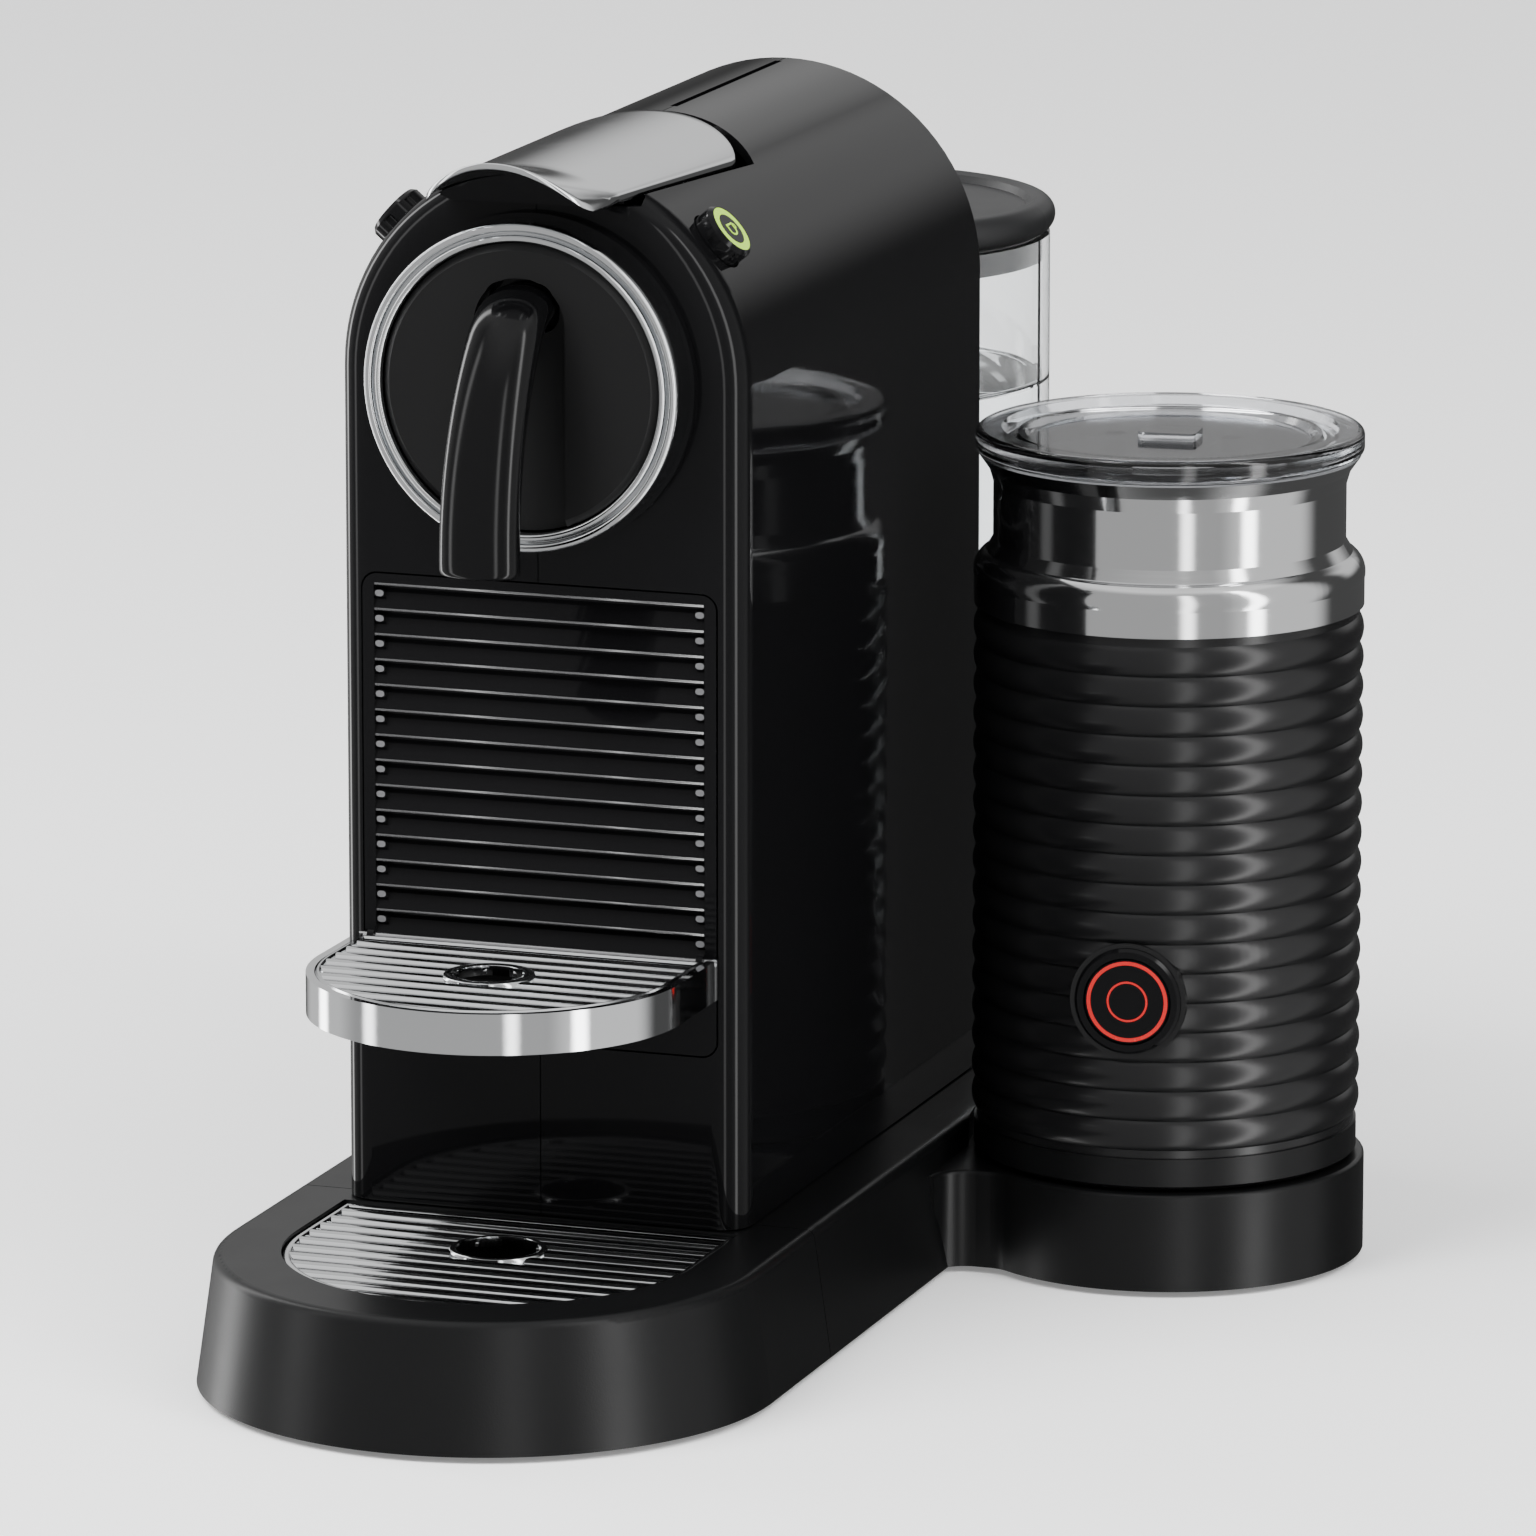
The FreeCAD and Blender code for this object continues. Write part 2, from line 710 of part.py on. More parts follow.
def outlet_ring():
    """A chrome band: a narrow lip at the disc, a groove, and a wider rounded band outside."""
    body = outlet_body("outlet_ring")
    front = s.ring_front
    groove = s.ring_hole + 2.5
    band = s.ring_radius - groove
    middle = groove + band / 2
    turned(body, "y", loop(
        (-2.6, s.ring_hole),
        (front + 1.2, s.ring_hole),
        (front + 1.2, groove - 0.1, front + 1.2, s.ring_hole + 1.2, -1),
        (front + 2, groove),
        (front + 2, groove + 0.2),
        (front + 1.6, groove + 0.2),
        (front + 1.6, s.ring_radius - 0.1, front + 1.6, middle + 0.05, -1),
        (-6, s.ring_radius),
        (-2.6, s.ring_radius - 0.8)))


def outlet_disc():
    body = outlet_body("outlet_disc")
    edge = s.ring_hole - 0.2
    turned(body, "y", loop((-6.2, 0), (s.disc_front, 0), (s.disc_front, edge - 1.6),
                           (s.disc_front + 1.2, edge), (-6.2, edge)))
    recess = loop((-s.recess_half, -50), (s.recess_half, -50), (s.recess_half, s.recess_top),
                  (-s.recess_half, s.recess_top, 0, s.recess_top, 1))
    cut(body, "y", s.disc_front - 1, s.disc_front + 3.4, recess)
    cut(body, "y", s.disc_front, -6, spout_section(0.05))


def spout_section(grow):
    """The spout's rounded section, where it leaves the disc."""
    half_wide, half_deep = s.spout_wide / 2 + grow, s.spout_deep / 2 + grow
    return rounded(-half_wide, s.spout_rise - half_deep, half_wide, s.spout_rise + half_deep, 4.6)


def coffee_spout():
    """A curved spout that comes out of the disc's recess and hangs down in front of it."""
    body = outlet_body("coffee_spout")
    fall, reach = cosine(s.spout_turn), sine(s.spout_turn)
    bend_z = s.spout_rise - s.spout_bend
    long_y = s.spout_knee + (s.spout_sweep - s.spout_bend) * reach
    long_z = bend_z - (s.spout_sweep - s.spout_bend) * fall
    root_y = s.disc_front + 4.6
    path = new_sketch(body, "x", 0, [])
    draw_loop(path, loop(
        (root_y, s.spout_rise),
        (s.spout_knee, s.spout_rise),
        (s.spout_knee - s.spout_bend * reach, bend_z + s.spout_bend * fall,
         s.spout_knee, bend_z, 1),
        (long_y - s.spout_sweep, long_z, long_y, long_z, 1),
        (long_y - s.spout_sweep, s.spout_low)), closed=False)
    section = new_sketch(body, "y", root_y, [spout_section(0)])
    feature = body.newObject("PartDesign::AdditivePipe", "coffee_spout_pipe")
    feature.Profile = section
    feature.Spine = (path, [])
    finish_feature(body, feature, section)
    cut(body, "z", s.spout_low, s.spout_low + 10,
        circle(0, long_y - s.spout_sweep, s.spout_deep / 2 - 2.2))


def spout_nozzle():
    body = outlet_body("spout_nozzle")
    tip_y = (s.spout_knee + (s.spout_sweep - s.spout_bend) * sine(s.spout_turn)) - s.spout_sweep
    wide = s.spout_deep / 2 - 2.2
    pad(body, "z", s.spout_low + 1, s.spout_low + 9.9, circle(0, tip_y, wide))
    cut(body, "z", s.spout_low, s.spout_low + 8, circle(0, tip_y, wide - 1.2))


# ---- lever ---------------------------------------------------------------------------------------

def crescent(half, top, edge):
    """A thin curved strip across the lip: it is `top` high in the middle and `edge` at its ends."""
    half, top, edge = size(half), size(top), size(edge)
    thick = s.lever_out - s.lever_in
    drop = top - edge
    radius = (half * half + drop * drop) / (drop * 2)
    centre = top - radius
    return loop((half, edge), (-half, edge, 0, centre, 1), (-half, edge - thick),
                (half, edge - thick, 0, centre - thick, -1))


def lever_cap():
    """A chrome plate that follows the arch, with a lip that rises in front for the fingers."""
    body = new_body("lever_cap")
    half = s.lever_half_back + 1
    rim = s.arch_z + root(s.lever_out * s.lever_out - half * half)
    inner = s.arch_z + root(s.lever_in * s.lever_in - half * half)
    pad(body, "y", -6, s.lever_back, loop((half, rim), (-half, rim, 0, s.arch_z, 1),
                                          (-half, inner), (half, inner, 0, s.arch_z, -1)))
    outside = box(-60, -20, 60, 120)
    cut(body, "z", s.arch_z, s.arch_z + 60, outside,
        lever_outline(0, s.lever_nose, s.lever_back))
    feature = body.newObject("PartDesign::AdditiveLoft", "lever_lip")
    top = s.arch_z + s.lever_out
    side = s.lever_half_front
    side_z = s.arch_z + root(s.lever_out * s.lever_out - side * side)
    stations = ((-5.9, side, top, side_z), (-16.5, side - 2.8, top + 1.9, side_z - 1.2),
                (-24, side - 8.6, top + 3.4, side_z + 3.4), (-28, side - 17, top + 4, side_z + 7.8))
    sketches = [new_sketch(body, "y", y, [crescent(*rest)]) for y, *rest in stations]
    feature.Profile = sketches[0]
    feature.Sections = sketches[1:]
    feature.Ruled = True
    finish_feature(body, feature, sketches[0])
    for sketch in sketches[1:]:
        sketch.Visibility = False


def lever_arm():
    """The black structure under the cap: a nose in front and two ears at the hinge."""
    body = new_body("lever_arm")
    outer = s.lever_in - 0.05
    inner = s.lever_in - 2.6
    half = size(15)
    pad(body, "y", -1.5, s.lever_hinge_y - 7, loop(
        (half, s.arch_z + root(outer * outer - half * half)),
        (-half, s.arch_z + root(outer * outer - half * half), 0, s.arch_z, 1),
        (-half, s.arch_z + root(inner * inner - half * half)),
        (half, s.arch_z + root(inner * inner - half * half), 0, s.arch_z, -1)))
    nose_half = s.lever_half_front - 0.9
    nose_z = s.arch_z + root(outer * outer - nose_half * nose_half)
    floor = s.arch_z + s.housing_radius + 2.6
    pad(body, "y", -5.5, 2.2, loop((nose_half - 2.5, floor), (nose_half, nose_z),
                                   (-nose_half, nose_z, 0, s.arch_z, 1),
                                   (-nose_half + 2.5, floor)))
    for side in (-1, 1):
        ears = sorted((6.4 * side, 9 * side))
        pad(body, "x", ears[0], ears[1], box(s.lever_hinge_y - 9, s.lever_hinge_z - 1.5,
                                             s.lever_hinge_y + 2, s.lever_hinge_z + 2.2))
    cut(body, "x", -12, 12, circle(s.lever_hinge_y, s.lever_hinge_z, s.lever_pin_radius))


def lever_pin():
    body = new_body("lever_pin")
    pad(body, "x", -9, 9, circle(s.lever_hinge_y, s.lever_hinge_z, s.lever_pin_radius))


# ---- brew unit and the rest of the inside ---------------------------------------------------------

def brew_frame():
    """Carries the extraction plate, guides the cage and holds the lever's hinge."""
    body = new_body("brew_frame")
    half = s.frame_half
    pad(body, "z", s.frame_low, s.frame_high, box(-half, s.frame_front, half, s.frame_back))
    cut(body, "z", s.frame_low, s.frame_high, box(-19.6, s.pod_front, 19.6, s.pod_back))
    cut(body, "y", s.pod_front - 8, s.frame_back, circle(0, s.arch_z, s.cage_radius + 0.4))
    cut(body, "y", s.frame_front, s.pod_front, circle(0, s.arch_z, 4))
    for side in (-1, 1):
        ears = sorted((3.4 * side, 6 * side))
        pad(body, "x", ears[0], ears[1],
            box(s.lever_hinge_y - 5, s.frame_high - 1, s.lever_hinge_y + 2.2, s.lever_hinge_z))
        pad(body, "x", ears[0], ears[1], circle(s.lever_hinge_y, s.lever_hinge_z, 2.2))
    cut(body, "x", -8, 8, circle(s.lever_hinge_y, s.lever_hinge_z, s.lever_pin_radius + 0.06))
    for side in (-1, 1):
        wing = sorted((half * side, (s.body_half - s.shell_wall - 5) * side), key=value_of)
        pad(body, "x", wing[0], wing[1], box(s.frame_front + 6, 205, s.frame_back - 6, 209))


def value_of(number):
    return number.value


def extraction_plate():
    body = outlet_body("extraction_plate")
    turned(body, "y", loop((s.pod_front - 7.9, 3.9), (s.pod_front - 7.9, s.cage_radius),
                           (s.pod_front - 4, s.cage_radius), (s.pod_front - 4, 17),
                           (s.pod_front - 0.8, 17), (s.pod_front - 0.8, 3.9)))


def capsule_cage():
    """A cup that closes on the pod, open towards the extraction plate."""
    body = outlet_body("capsule_cage")
    turned(body, "y", loop((s.pod_front + 1, s.pod_radius), (s.pod_front + 1, s.cage_radius),
                           (s.pod_back, s.cage_radius), (s.pod_back, 6),
                           (s.pod_back + 4, 6), (s.pod_back + 4, 0), (s.pod_back - 4, 0),
                           (s.pod_back - 4, 12)))


def thermoblock():
    body = new_body("thermoblock")
    pad(body, "z", 200, 250, box(-24, 106, 24, 146))
    fins = [box(-24.5, 203 + 8 * row, 24.5, 206 + 8 * row) for row in range(6)]
    cut(body, "y", 106, 110, *fins)
    cut(body, "z", 198, 206, circle(0, 128, 2.6))


PUMP_X, PUMP_Y = 14, 130


def pump():
    """A vibrating pump that stands upright between its rubber mounts."""
    body = new_body("pump", at=(PUMP_X, PUMP_Y, 0))
    turned(body, "z", loop((0, 52), (6, 52), (6, 62), (16, 62), (16, 112), (9, 112),
                           (9, 122), (4, 122), (4, 130), (0, 130)))


def pump_mounts():
    body = new_body("pump_mounts", at=(PUMP_X, PUMP_Y, 0))
    pad(body, "z", s.plinth_top, 61.9, box(-12, -16, 12, -10), box(-12, 10, 12, 16))


def flow_meter():
    body = new_body("flow_meter", at=(-22, PUMP_Y, 0))
    turned(body, "z", loop((0, 40), (13, 40), (13, 50), (9, 53), (0, 53)))
    turned(body, "z", loop((0, 34), (3.4, 34), (3.4, 40), (0, 40)))


def control_board():
    body = new_body("control_board")
    pad(body, "x", -44.4, -42.8, box(104, 96, 160, 190))
    pad(body, "x", -42.8, -34, box(110, 104, 124, 118), box(130, 104, 154, 120),
        box(112, 166, 118, 184), box(140, 140, 150, 160))
    pad(body, "x", -42.8, -30, circle(118, 140, 6), circle(118, 156, 5))


def shoulder_body(name, side):
    """A body whose own z axis leaves the arch's centre through a shoulder button."""
    return new_body(name, at=(0, s.button_y, s.arch_z), axis=(0, side, 0),
                    angle=90 - s.button_lift)


def button_switch(name, side):
    """The small push switch under a shoulder button."""
    body = shoulder_body(name, side)
    pad(body, "z", 35.5, 38.6, box(-3.4, -3.4, 3.4, 3.4))
    pad(body, "z", 38.6, 39.6, circle(0, 0, 1.6))


def shoulder_button(name, side):
    """A cap with grip notches round its waist and a flange that keeps it in the shell."""
    body = shoulder_body(name, side)
    face = s.body_half + s.button_out
    low = s.body_half - s.shell_wall - 5.6
    radius = s.button_radius
    turned(body, "z", loop((0, low), (radius + 1.6, low), (radius + 1.6, low + 1.6),
                           (radius, low + 1.6), (radius, face - 1), (radius - 0.8, face),
                           (radius - 1, face), (radius - 1, face - 0.8), (radius - 3, face - 0.8),
                           (radius - 3, face), (0, face)))
    notches = []
    for step in range(6):
        turn = Size(30 + 60 * step, f"({30 + 60 * step})")
        notches.append(circle((radius + 0.9) * cosine(turn), (radius + 0.9) * sine(turn), 1.7))
    cut(body, "z", s.body_half + 0.5, face - 1.4, *notches)


def shoulder_light(name, side):
    """The light ring let into a shoulder button's face."""
    body = shoulder_body(name, side)
    face = s.body_half + s.button_out
    turned(body, "z", loop((s.button_radius - 2.95, face - 0.8), (s.button_radius - 1.05, face - 0.8),
                           (s.button_radius - 1.05, face - 0.05),
                           (s.button_radius - 2.95, face - 0.05)))


def drawer_rails():
    body = new_body("drawer_rails")
    reach = s.body_half - s.shell_wall
    for side in (-1, 1):
        across = sorted((33 * size(side), reach * side), key=value_of)
        pad(body, "y", 5.5, 96, box(across[0], s.bin_low - 3.4, across[1], s.bin_low - 0.4))


def tank_socket():
    body = new_body("tank_socket", at=(0, s.tank_y, 0))
    turned(body, "z", loop((4.5, 24), (8.9, 24), (8.9, s.base_top), (15, s.base_top),
                           (15, s.base_top + 4.4), (10.5, s.base_top + 4.4),
                           (10.5, s.base_top + 1.2), (4.5, s.base_top + 1.2)))


def dock_connector():
    body = new_body("dock_connector", at=(s.jug_x, s.jug_y, 0))
    turned(body, "z", loop((0, s.dock_top), (14, s.dock_top), (14, s.dock_top + 3.5),
                           (12.6, s.dock_top + 4.6), (0, s.dock_top + 4.6)))


def cord_gland():
    """The round inlet for a power cord, low down at the back."""
    body = new_body("cord_gland", at=(0, 0, s.gland_z))
    back = s.back_turn + s.base_low
    hole, rim = s.cord_radius, s.gland_radius
    turned(body, "y", loop((back - 16, hole), (back - 16, rim - 0.1), (back - 2.6, rim - 0.1),
                           (back - 0.3, rim - 1), (back - 0.3, hole)))


def water_hoses():
    """Socket to flow meter, flow meter to pump, and pump to thermoblock."""
    runs = (
        ((0, 208, 24), (0, 208, 14), (0, 160, 14), (-22, 140, 14), (-22, PUMP_Y, 22),
         (-22, PUMP_Y, 33.5)),
        ((-8.9, PUMP_Y, 45), (PUMP_X, PUMP_Y, 45), (PUMP_X, PUMP_Y, 51.9)),
        ((PUMP_X, PUMP_Y, 130.5), (PUMP_X, PUMP_Y, 150), (0, 128, 168), (0, 128, 199.5)),
    )
    item = doc.addObject("Part::Feature", "water_hoses")
    item.Label = "water_hoses"
    item.Shape = Part.makeCompound([hose(run, 2.4) for run in runs])
    place(item)
    subparts.append(item)


def hose(points, radius):
    """A round hose along straight runs joined by tangent arcs."""
    corners = [FreeCAD.Vector(*point) for point in points]
    edges = []
    at = corners[0]
    for before, corner, after in zip(corners, corners[1:], corners[2:]):
        inward, onward = (before - corner), (after - corner)
        trim = 0.4 * min(inward.Length, onward.Length)
        start = corner + inward.normalize() * trim
        stop = corner + onward.normalize() * trim
        middle = (start + stop) / 2
        half_turn = (pi - inward.getAngle(onward)) / 2
        bend = trim / (sin(half_turn) / cos(half_turn))
        centre = corner + (middle - corner).normalize() * (bend / cos(half_turn))
        crown = centre + (corner - centre).normalize() * bend
        edges.append(Part.LineSegment(at, start).toShape())
        edges.append(Part.Arc(start, crown, stop).toShape())
        at = stop
    edges.append(Part.LineSegment(at, corners[-1]).toShape())
    spine = Part.Wire(edges)
    ring = Part.Circle(corners[0], corners[1] - corners[0], radius).toShape()
    return spine.makePipeShell([Part.Wire([ring])], True, False)


for build in (outlet_housing, outlet_ring, outlet_disc, coffee_spout, spout_nozzle, lever_cap,
              lever_arm, lever_pin, brew_frame, extraction_plate, capsule_cage, thermoblock, pump,
              pump_mounts, flow_meter, control_board, drawer_rails, tank_socket, dock_connector,
              cord_gland, water_hoses):
    build()
for cup, side in (("espresso", 1), ("lungo", -1)):
    button_switch(f"{cup}_switch", side)
    shoulder_button(f"{cup}_button", side)
    shoulder_light(f"{cup}_light", side)


# ---- drawer: slatted front with the capsule bin behind it, and the folding cup shelf ---------------

def grille_panel():
    body = new_body("grille_panel")
    pad(body, "y", 0, s.panel_thick, rounded(-s.panel_half, s.panel_low, s.panel_half,
                                             s.panel_high, s.panel_round - 0.4))
    slats = []
    for row in range(SLAT_COUNT):
        top = s.slat_first - s.slat_pitch * row
        slats.append(loop((-0.5, top - 0.7), (-0.5, top - s.slat_pitch + 0.1),
                          (0.15, top - s.slat_pitch + 0.1), (s.slat_deep, top - 1.6),
                          (s.slat_deep, top - 0.7)))
    cut(body, "x", -s.slat_half, s.slat_half, *slats)
    tabs = []
    for row in range(SLAT_COUNT):
        middle = s.slat_first - s.slat_pitch * row - 2.6
        for low, high in ((-s.slat_half, 2.4 - s.slat_half), (s.slat_half - 2.4, s.slat_half)):
            tabs.append(box(low, middle - 0.8, high, middle + 0.8))
    pad(body, "y", 0.3, s.slat_deep + 0.4, *tabs)
    for side in (-1, 1):
        ear = sorted((39.6 * side, 41.2 * side))
        pad(body, "x", ear[0], ear[1], box(-2.6, s.shelf_low + 3, 0.5, s.shelf_hinge_z + 0.1))
        pad(body, "x", ear[0], ear[1], circle(s.shelf_hinge_y, s.shelf_hinge_z, 1.7))
    cut(body, "x", -42, 42, circle(s.shelf_hinge_y, s.shelf_hinge_z, s.shelf_pin_radius + 0.06))


def capsule_bin():
    body = new_body("capsule_bin")
    half, wall = s.bin_half, s.bin_wall
    pad(body, "z", s.bin_low, s.bin_high, rounded(-half, s.panel_thick, half, s.bin_back, 6))
    cut(body, "z", s.bin_low + wall, s.bin_high + 1,
        rounded(-half + wall, s.panel_thick + wall, half - wall, s.bin_back - wall, 4.4))


def shelf_band():
    """The chrome strap round the cup shelf."""
    body = new_body("shelf_band")
    half, turn, back = s.shelf_half, s.shelf_turn, s.shelf_back
    inner = half - s.shelf_skin
    pad(body, "z", s.shelf_low, s.shelf_high, loop(
        (half, back), (inner, back), (inner, turn), (-inner, turn, 0, turn, -1), (-inner, back),
        (-half, back), (-half, turn), (half, turn, 0, turn, 1)))
    cut(body, "x", -45, 45, circle(s.shelf_hinge_y, s.shelf_hinge_z, s.shelf_pin_radius))


def shelf_tray():
    """The black drip pan inside the strap."""
    body = new_body("shelf_tray")
    half = s.shelf_half - s.shelf_skin
    pad(body, "z", s.shelf_low + 0.3, s.shelf_high - 2.6, tongue(half, s.shelf_turn, -6))
    cut(body, "z", s.shelf_low + 1.9, s.shelf_high, tongue(half - 1.6, s.shelf_turn, -7.6))


def shelf_pin():
    body = new_body("shelf_pin")
    pad(body, "x", -43.4, 43.4, circle(s.shelf_hinge_y, s.shelf_hinge_z, s.shelf_pin_radius))


# ---- water tank ------------------------------------------------------------------------------------

def tank_body(name):
    return new_body(name, at=(0, s.tank_y, 0))


def water_tank():
    """A clear beaker with a foot ring, a moulded level mark and a thick rim."""
    body = tank_body("water_tank")
    out, wall = s.tank_radius, s.tank_wall
    inner = out - wall
    turned(body, "z", loop(
        (15.8, s.tank_low), (out - 3, s.tank_low), (out, s.tank_low + 3, out - 3, s.tank_low + 3, 1),
        (out, s.tank_high), (inner, s.tank_high), (inner, s.level_z + 0.5),
        (inner - 0.6, s.level_z), (inner, s.level_z - 0.5), (inner, s.tank_low + 8),
        (inner - 4, s.tank_low + 4, inner - 4, s.tank_low + 8, -1), (19, s.tank_low + 4),
        (19, s.tank_low + 10), (6, s.tank_low + 10), (6, s.tank_low + 7.4),
        (15.8, s.tank_low + 7.4)))


def tank_valve():
    body = tank_body("tank_valve")
    turned(body, "z", loop((0, s.tank_low + 2.6), (3.4, s.tank_low + 2.6), (3.4, s.tank_low + 6),
                           (9, s.tank_low + 6), (9, s.tank_low + 7.4), (6, s.tank_low + 7.4),
                           (6, s.tank_low + 14), (0, s.tank_low + 14)))


def tank_lid():
    """A dark lid with a rounded rim, a sunk middle and a collar that plugs the tank."""
    body = tank_body("tank_lid")
    out, top, seat = s.lid_radius, s.lid_top, s.tank_high + 0.35
    plug = s.tank_radius - s.tank_wall - 0.4
    bulge = (top - seat) / 2
    turned(body, "z", loop(
        (0, top - 2.2), (out - 7.4, top - 2.2), (out - 6.4, top - 0.6), (out - 4.6, top),
        (out - bulge, top), (out - bulge, seat, out - bulge, top - bulge, -1), (plug, seat),
        (plug, seat - 6.4), (plug - 2, seat - 6.4), (plug - 2, seat), (plug - 5, top - 4.6),
        (0, top - 4.6)))


# ---- frother jug: every part turns about the dock's axis ---------------------------------------------

def jug_body(name):
    return new_body(name, at=(s.jug_x, s.jug_y, 0), axis=(0, 0, 1), angle=s.jug_turn)


def jug_base():
    body = jug_body("jug_base")
    low, top = s.jug_low, s.rib_low
    turned(body, "z", loop((15.4, low), (s.jug_radius - 1.6, low), (s.jug_radius - 0.6, low + 1),
                           (s.jug_radius - 0.6, top), (0, top), (0, top - 2.4), (15.4, top - 2.4)))


def jug_sleeve():
    """A grip with rounded ribs all the way up and a flat round boss for the button."""
    body = jug_body("jug_sleeve")
    valley = s.jug_radius - s.rib_deep
    half_pitch = s.rib_pitch / 2
    bulge = (half_pitch * half_pitch + s.rib_deep * s.rib_deep) / (s.rib_deep * 2)
    points = [(s.sleeve_in, s.rib_low), (valley, s.rib_low)]
    for rib in range(RIB_COUNT):
        low = s.rib_low + 2 + s.rib_pitch * rib
        points.append((valley, low))
        points.append((valley, low + s.rib_pitch, s.jug_radius - bulge, low + half_pitch, 1))
    points.append((valley, s.sleeve_top))
    points.append((s.sleeve_in, s.sleeve_top))
    turned(body, "z", loop(*unrepeated(points)))
    boss = s.jug_radius - 0.2
    pad(body, "y", -boss, -s.sleeve_in - 1, circle(0, s.jug_button_z, s.bezel_radius + 1.2))
    cut(body, "y", -boss - 2, -30, circle(0, s.jug_button_z, s.bezel_radius + 0.05))


def unrepeated(points):
    """Drops the plain points where one arc ends and the next begins."""
    kept = points[:1]
    for point in points[1:]:
        same = all(abs(size(a).value - size(b).value) < 1e-6 for a, b in zip(point[:2], kept[-1]))
        if not same:
            kept.append(point)
    return kept


def jug_collar():
    """The steel neck: a shoulder, a waist and a lip that flares under the lid."""
    body = jug_body("jug_collar")
    out, neck, low = s.jug_radius, s.neck_radius, s.sleeve_top + 0.2
    skin = 1
    turned(body, "z", loop(
        (out - skin, low), (out, low), (out, low + 6.2),
        (neck + 1.6, low + 12.6, out - 5.4, low + 6.6, 1),
        (neck, low + 15.4), (neck, low + 29), (neck + 1, low + 32.4), (neck + 3.4, low + 35.8),
        (neck + 2.2, low + 36), (neck, low + 33), (neck - skin, low + 29.4),
        (neck - skin, low + 15), (neck + 0.6, low + 11.8), (out - skin - 0.4, low + 5)))


def jug_bowl():
    body = jug_body("jug_bowl")
    out, skin, floor = s.bowl_radius, s.bowl_wall, s.bowl_floor
    turned(body, "z", loop(
        (0, floor), (out - 6, floor), (out, floor + 6, out - 6, floor + 6, 1), (out, s.bowl_top),
        (out - skin, s.bowl_top), (out - skin, floor + 6),
        (out - 6, floor + skin, out - 6, floor + 6, -1), (s.spindle_radius, floor + skin),
        (s.spindle_radius, floor + 7), (0, floor + 7)))


def jug_heater():
    body = jug_body("jug_heater")
    turned(body, "z", loop((17, s.bowl_floor - 4.4), (36, s.bowl_floor - 4.4),
                           (36, s.bowl_floor - 0.1), (17, s.bowl_floor - 0.1)))


def jug_motor():
    body = jug_body("jug_motor")
    turned(body, "z", loop((0, s.rib_low + 0.1), (24, s.rib_low + 0.1), (24, s.rib_low + 4),
                           (16, s.rib_low + 4), (16, s.rib_low + 30), (3, s.rib_low + 30),
                           (3, s.rib_low + 32), (0, s.rib_low + 32)))


def drive_magnet():
    body = jug_body("drive_magnet")
    low = s.rib_low + 32.6
    turned(body, "z", loop((0, low), (14, low), (14, s.bowl_floor - 5), (0, s.bowl_floor - 5)))


def whisk():
    """A magnetic hub that spins on the bowl's spindle, with a wire ring round it."""
    body = jug_body("whisk")
    low = s.bowl_floor + s.bowl_wall + 0.5
    bore = s.spindle_radius + 0.08
    turned(body, "z", loop((bore, low), (9, low), (9, low + 3.2), (4, low + 3.2), (4, low + 7.4),
                           (bore, low + 7.4)))
    turned(body, "z", circle(14, low + 2.2, 1.5))
    spokes = [box(-14, -0.8, 14, 0.8), box(-0.8, -14, 0.8, 14)]
    for spoke in spokes:
        pad(body, "z", low + 1.4, low + 2.8, spoke)
    cut(body, "z", low - 1, low + 9, circle(0, 0, bore))


def jug_button_bezel():
    body = jug_body("jug_button_bezel")
    place(body, (s.jug_x, s.jug_y, s.jug_button_z), (0, 0, 1), s.jug_turn)
    front = -s.jug_radius - 0.9
    hole, rim = s.jug_button_radius + 0.3, s.bezel_radius
    turned(body, "y", loop((front + 6, hole), (front, hole), (front, rim - 0.7), (front + 0.7, rim),
                           (front + 6, rim)))
    turned(body, "y", loop((front + 6, 4), (front + 6.5, 4), (front + 6.5, rim), (front + 6, rim)))


def jug_button():
    body = jug_body("jug_button")
    place(body, (s.jug_x, s.jug_y, s.jug_button_z), (0, 0, 1), s.jug_turn)
    front = -s.jug_radius - 0.7
    radius = s.jug_button_radius
    turned(body, "y", loop(
        (front + 4.2, 0), (front, 0), (front, 4.35), (front + 0.7, 4.35), (front + 0.7, 4.95),
        (front, 4.95), (front, 8.75), (front + 0.7, 8.75), (front + 0.7, 9.75), (front, 9.75),
        (front, radius - 0.2), (front + 0.2, radius), (front + 4.2, radius)))


def jug_light():
    """Two light rings let into the jug's button."""
    body = jug_body("jug_light")
    place(body, (s.jug_x, s.jug_y, s.jug_button_z), (0, 0, 1), s.jug_turn)
    front = -s.jug_radius - 0.7
    for low, high in ((4.4, 4.9), (8.8, 9.7)):
        turned(body, "y", loop((front + 0.04, low), (front + 0.04, high), (front + 0.7, high),
                               (front + 0.7, low)))


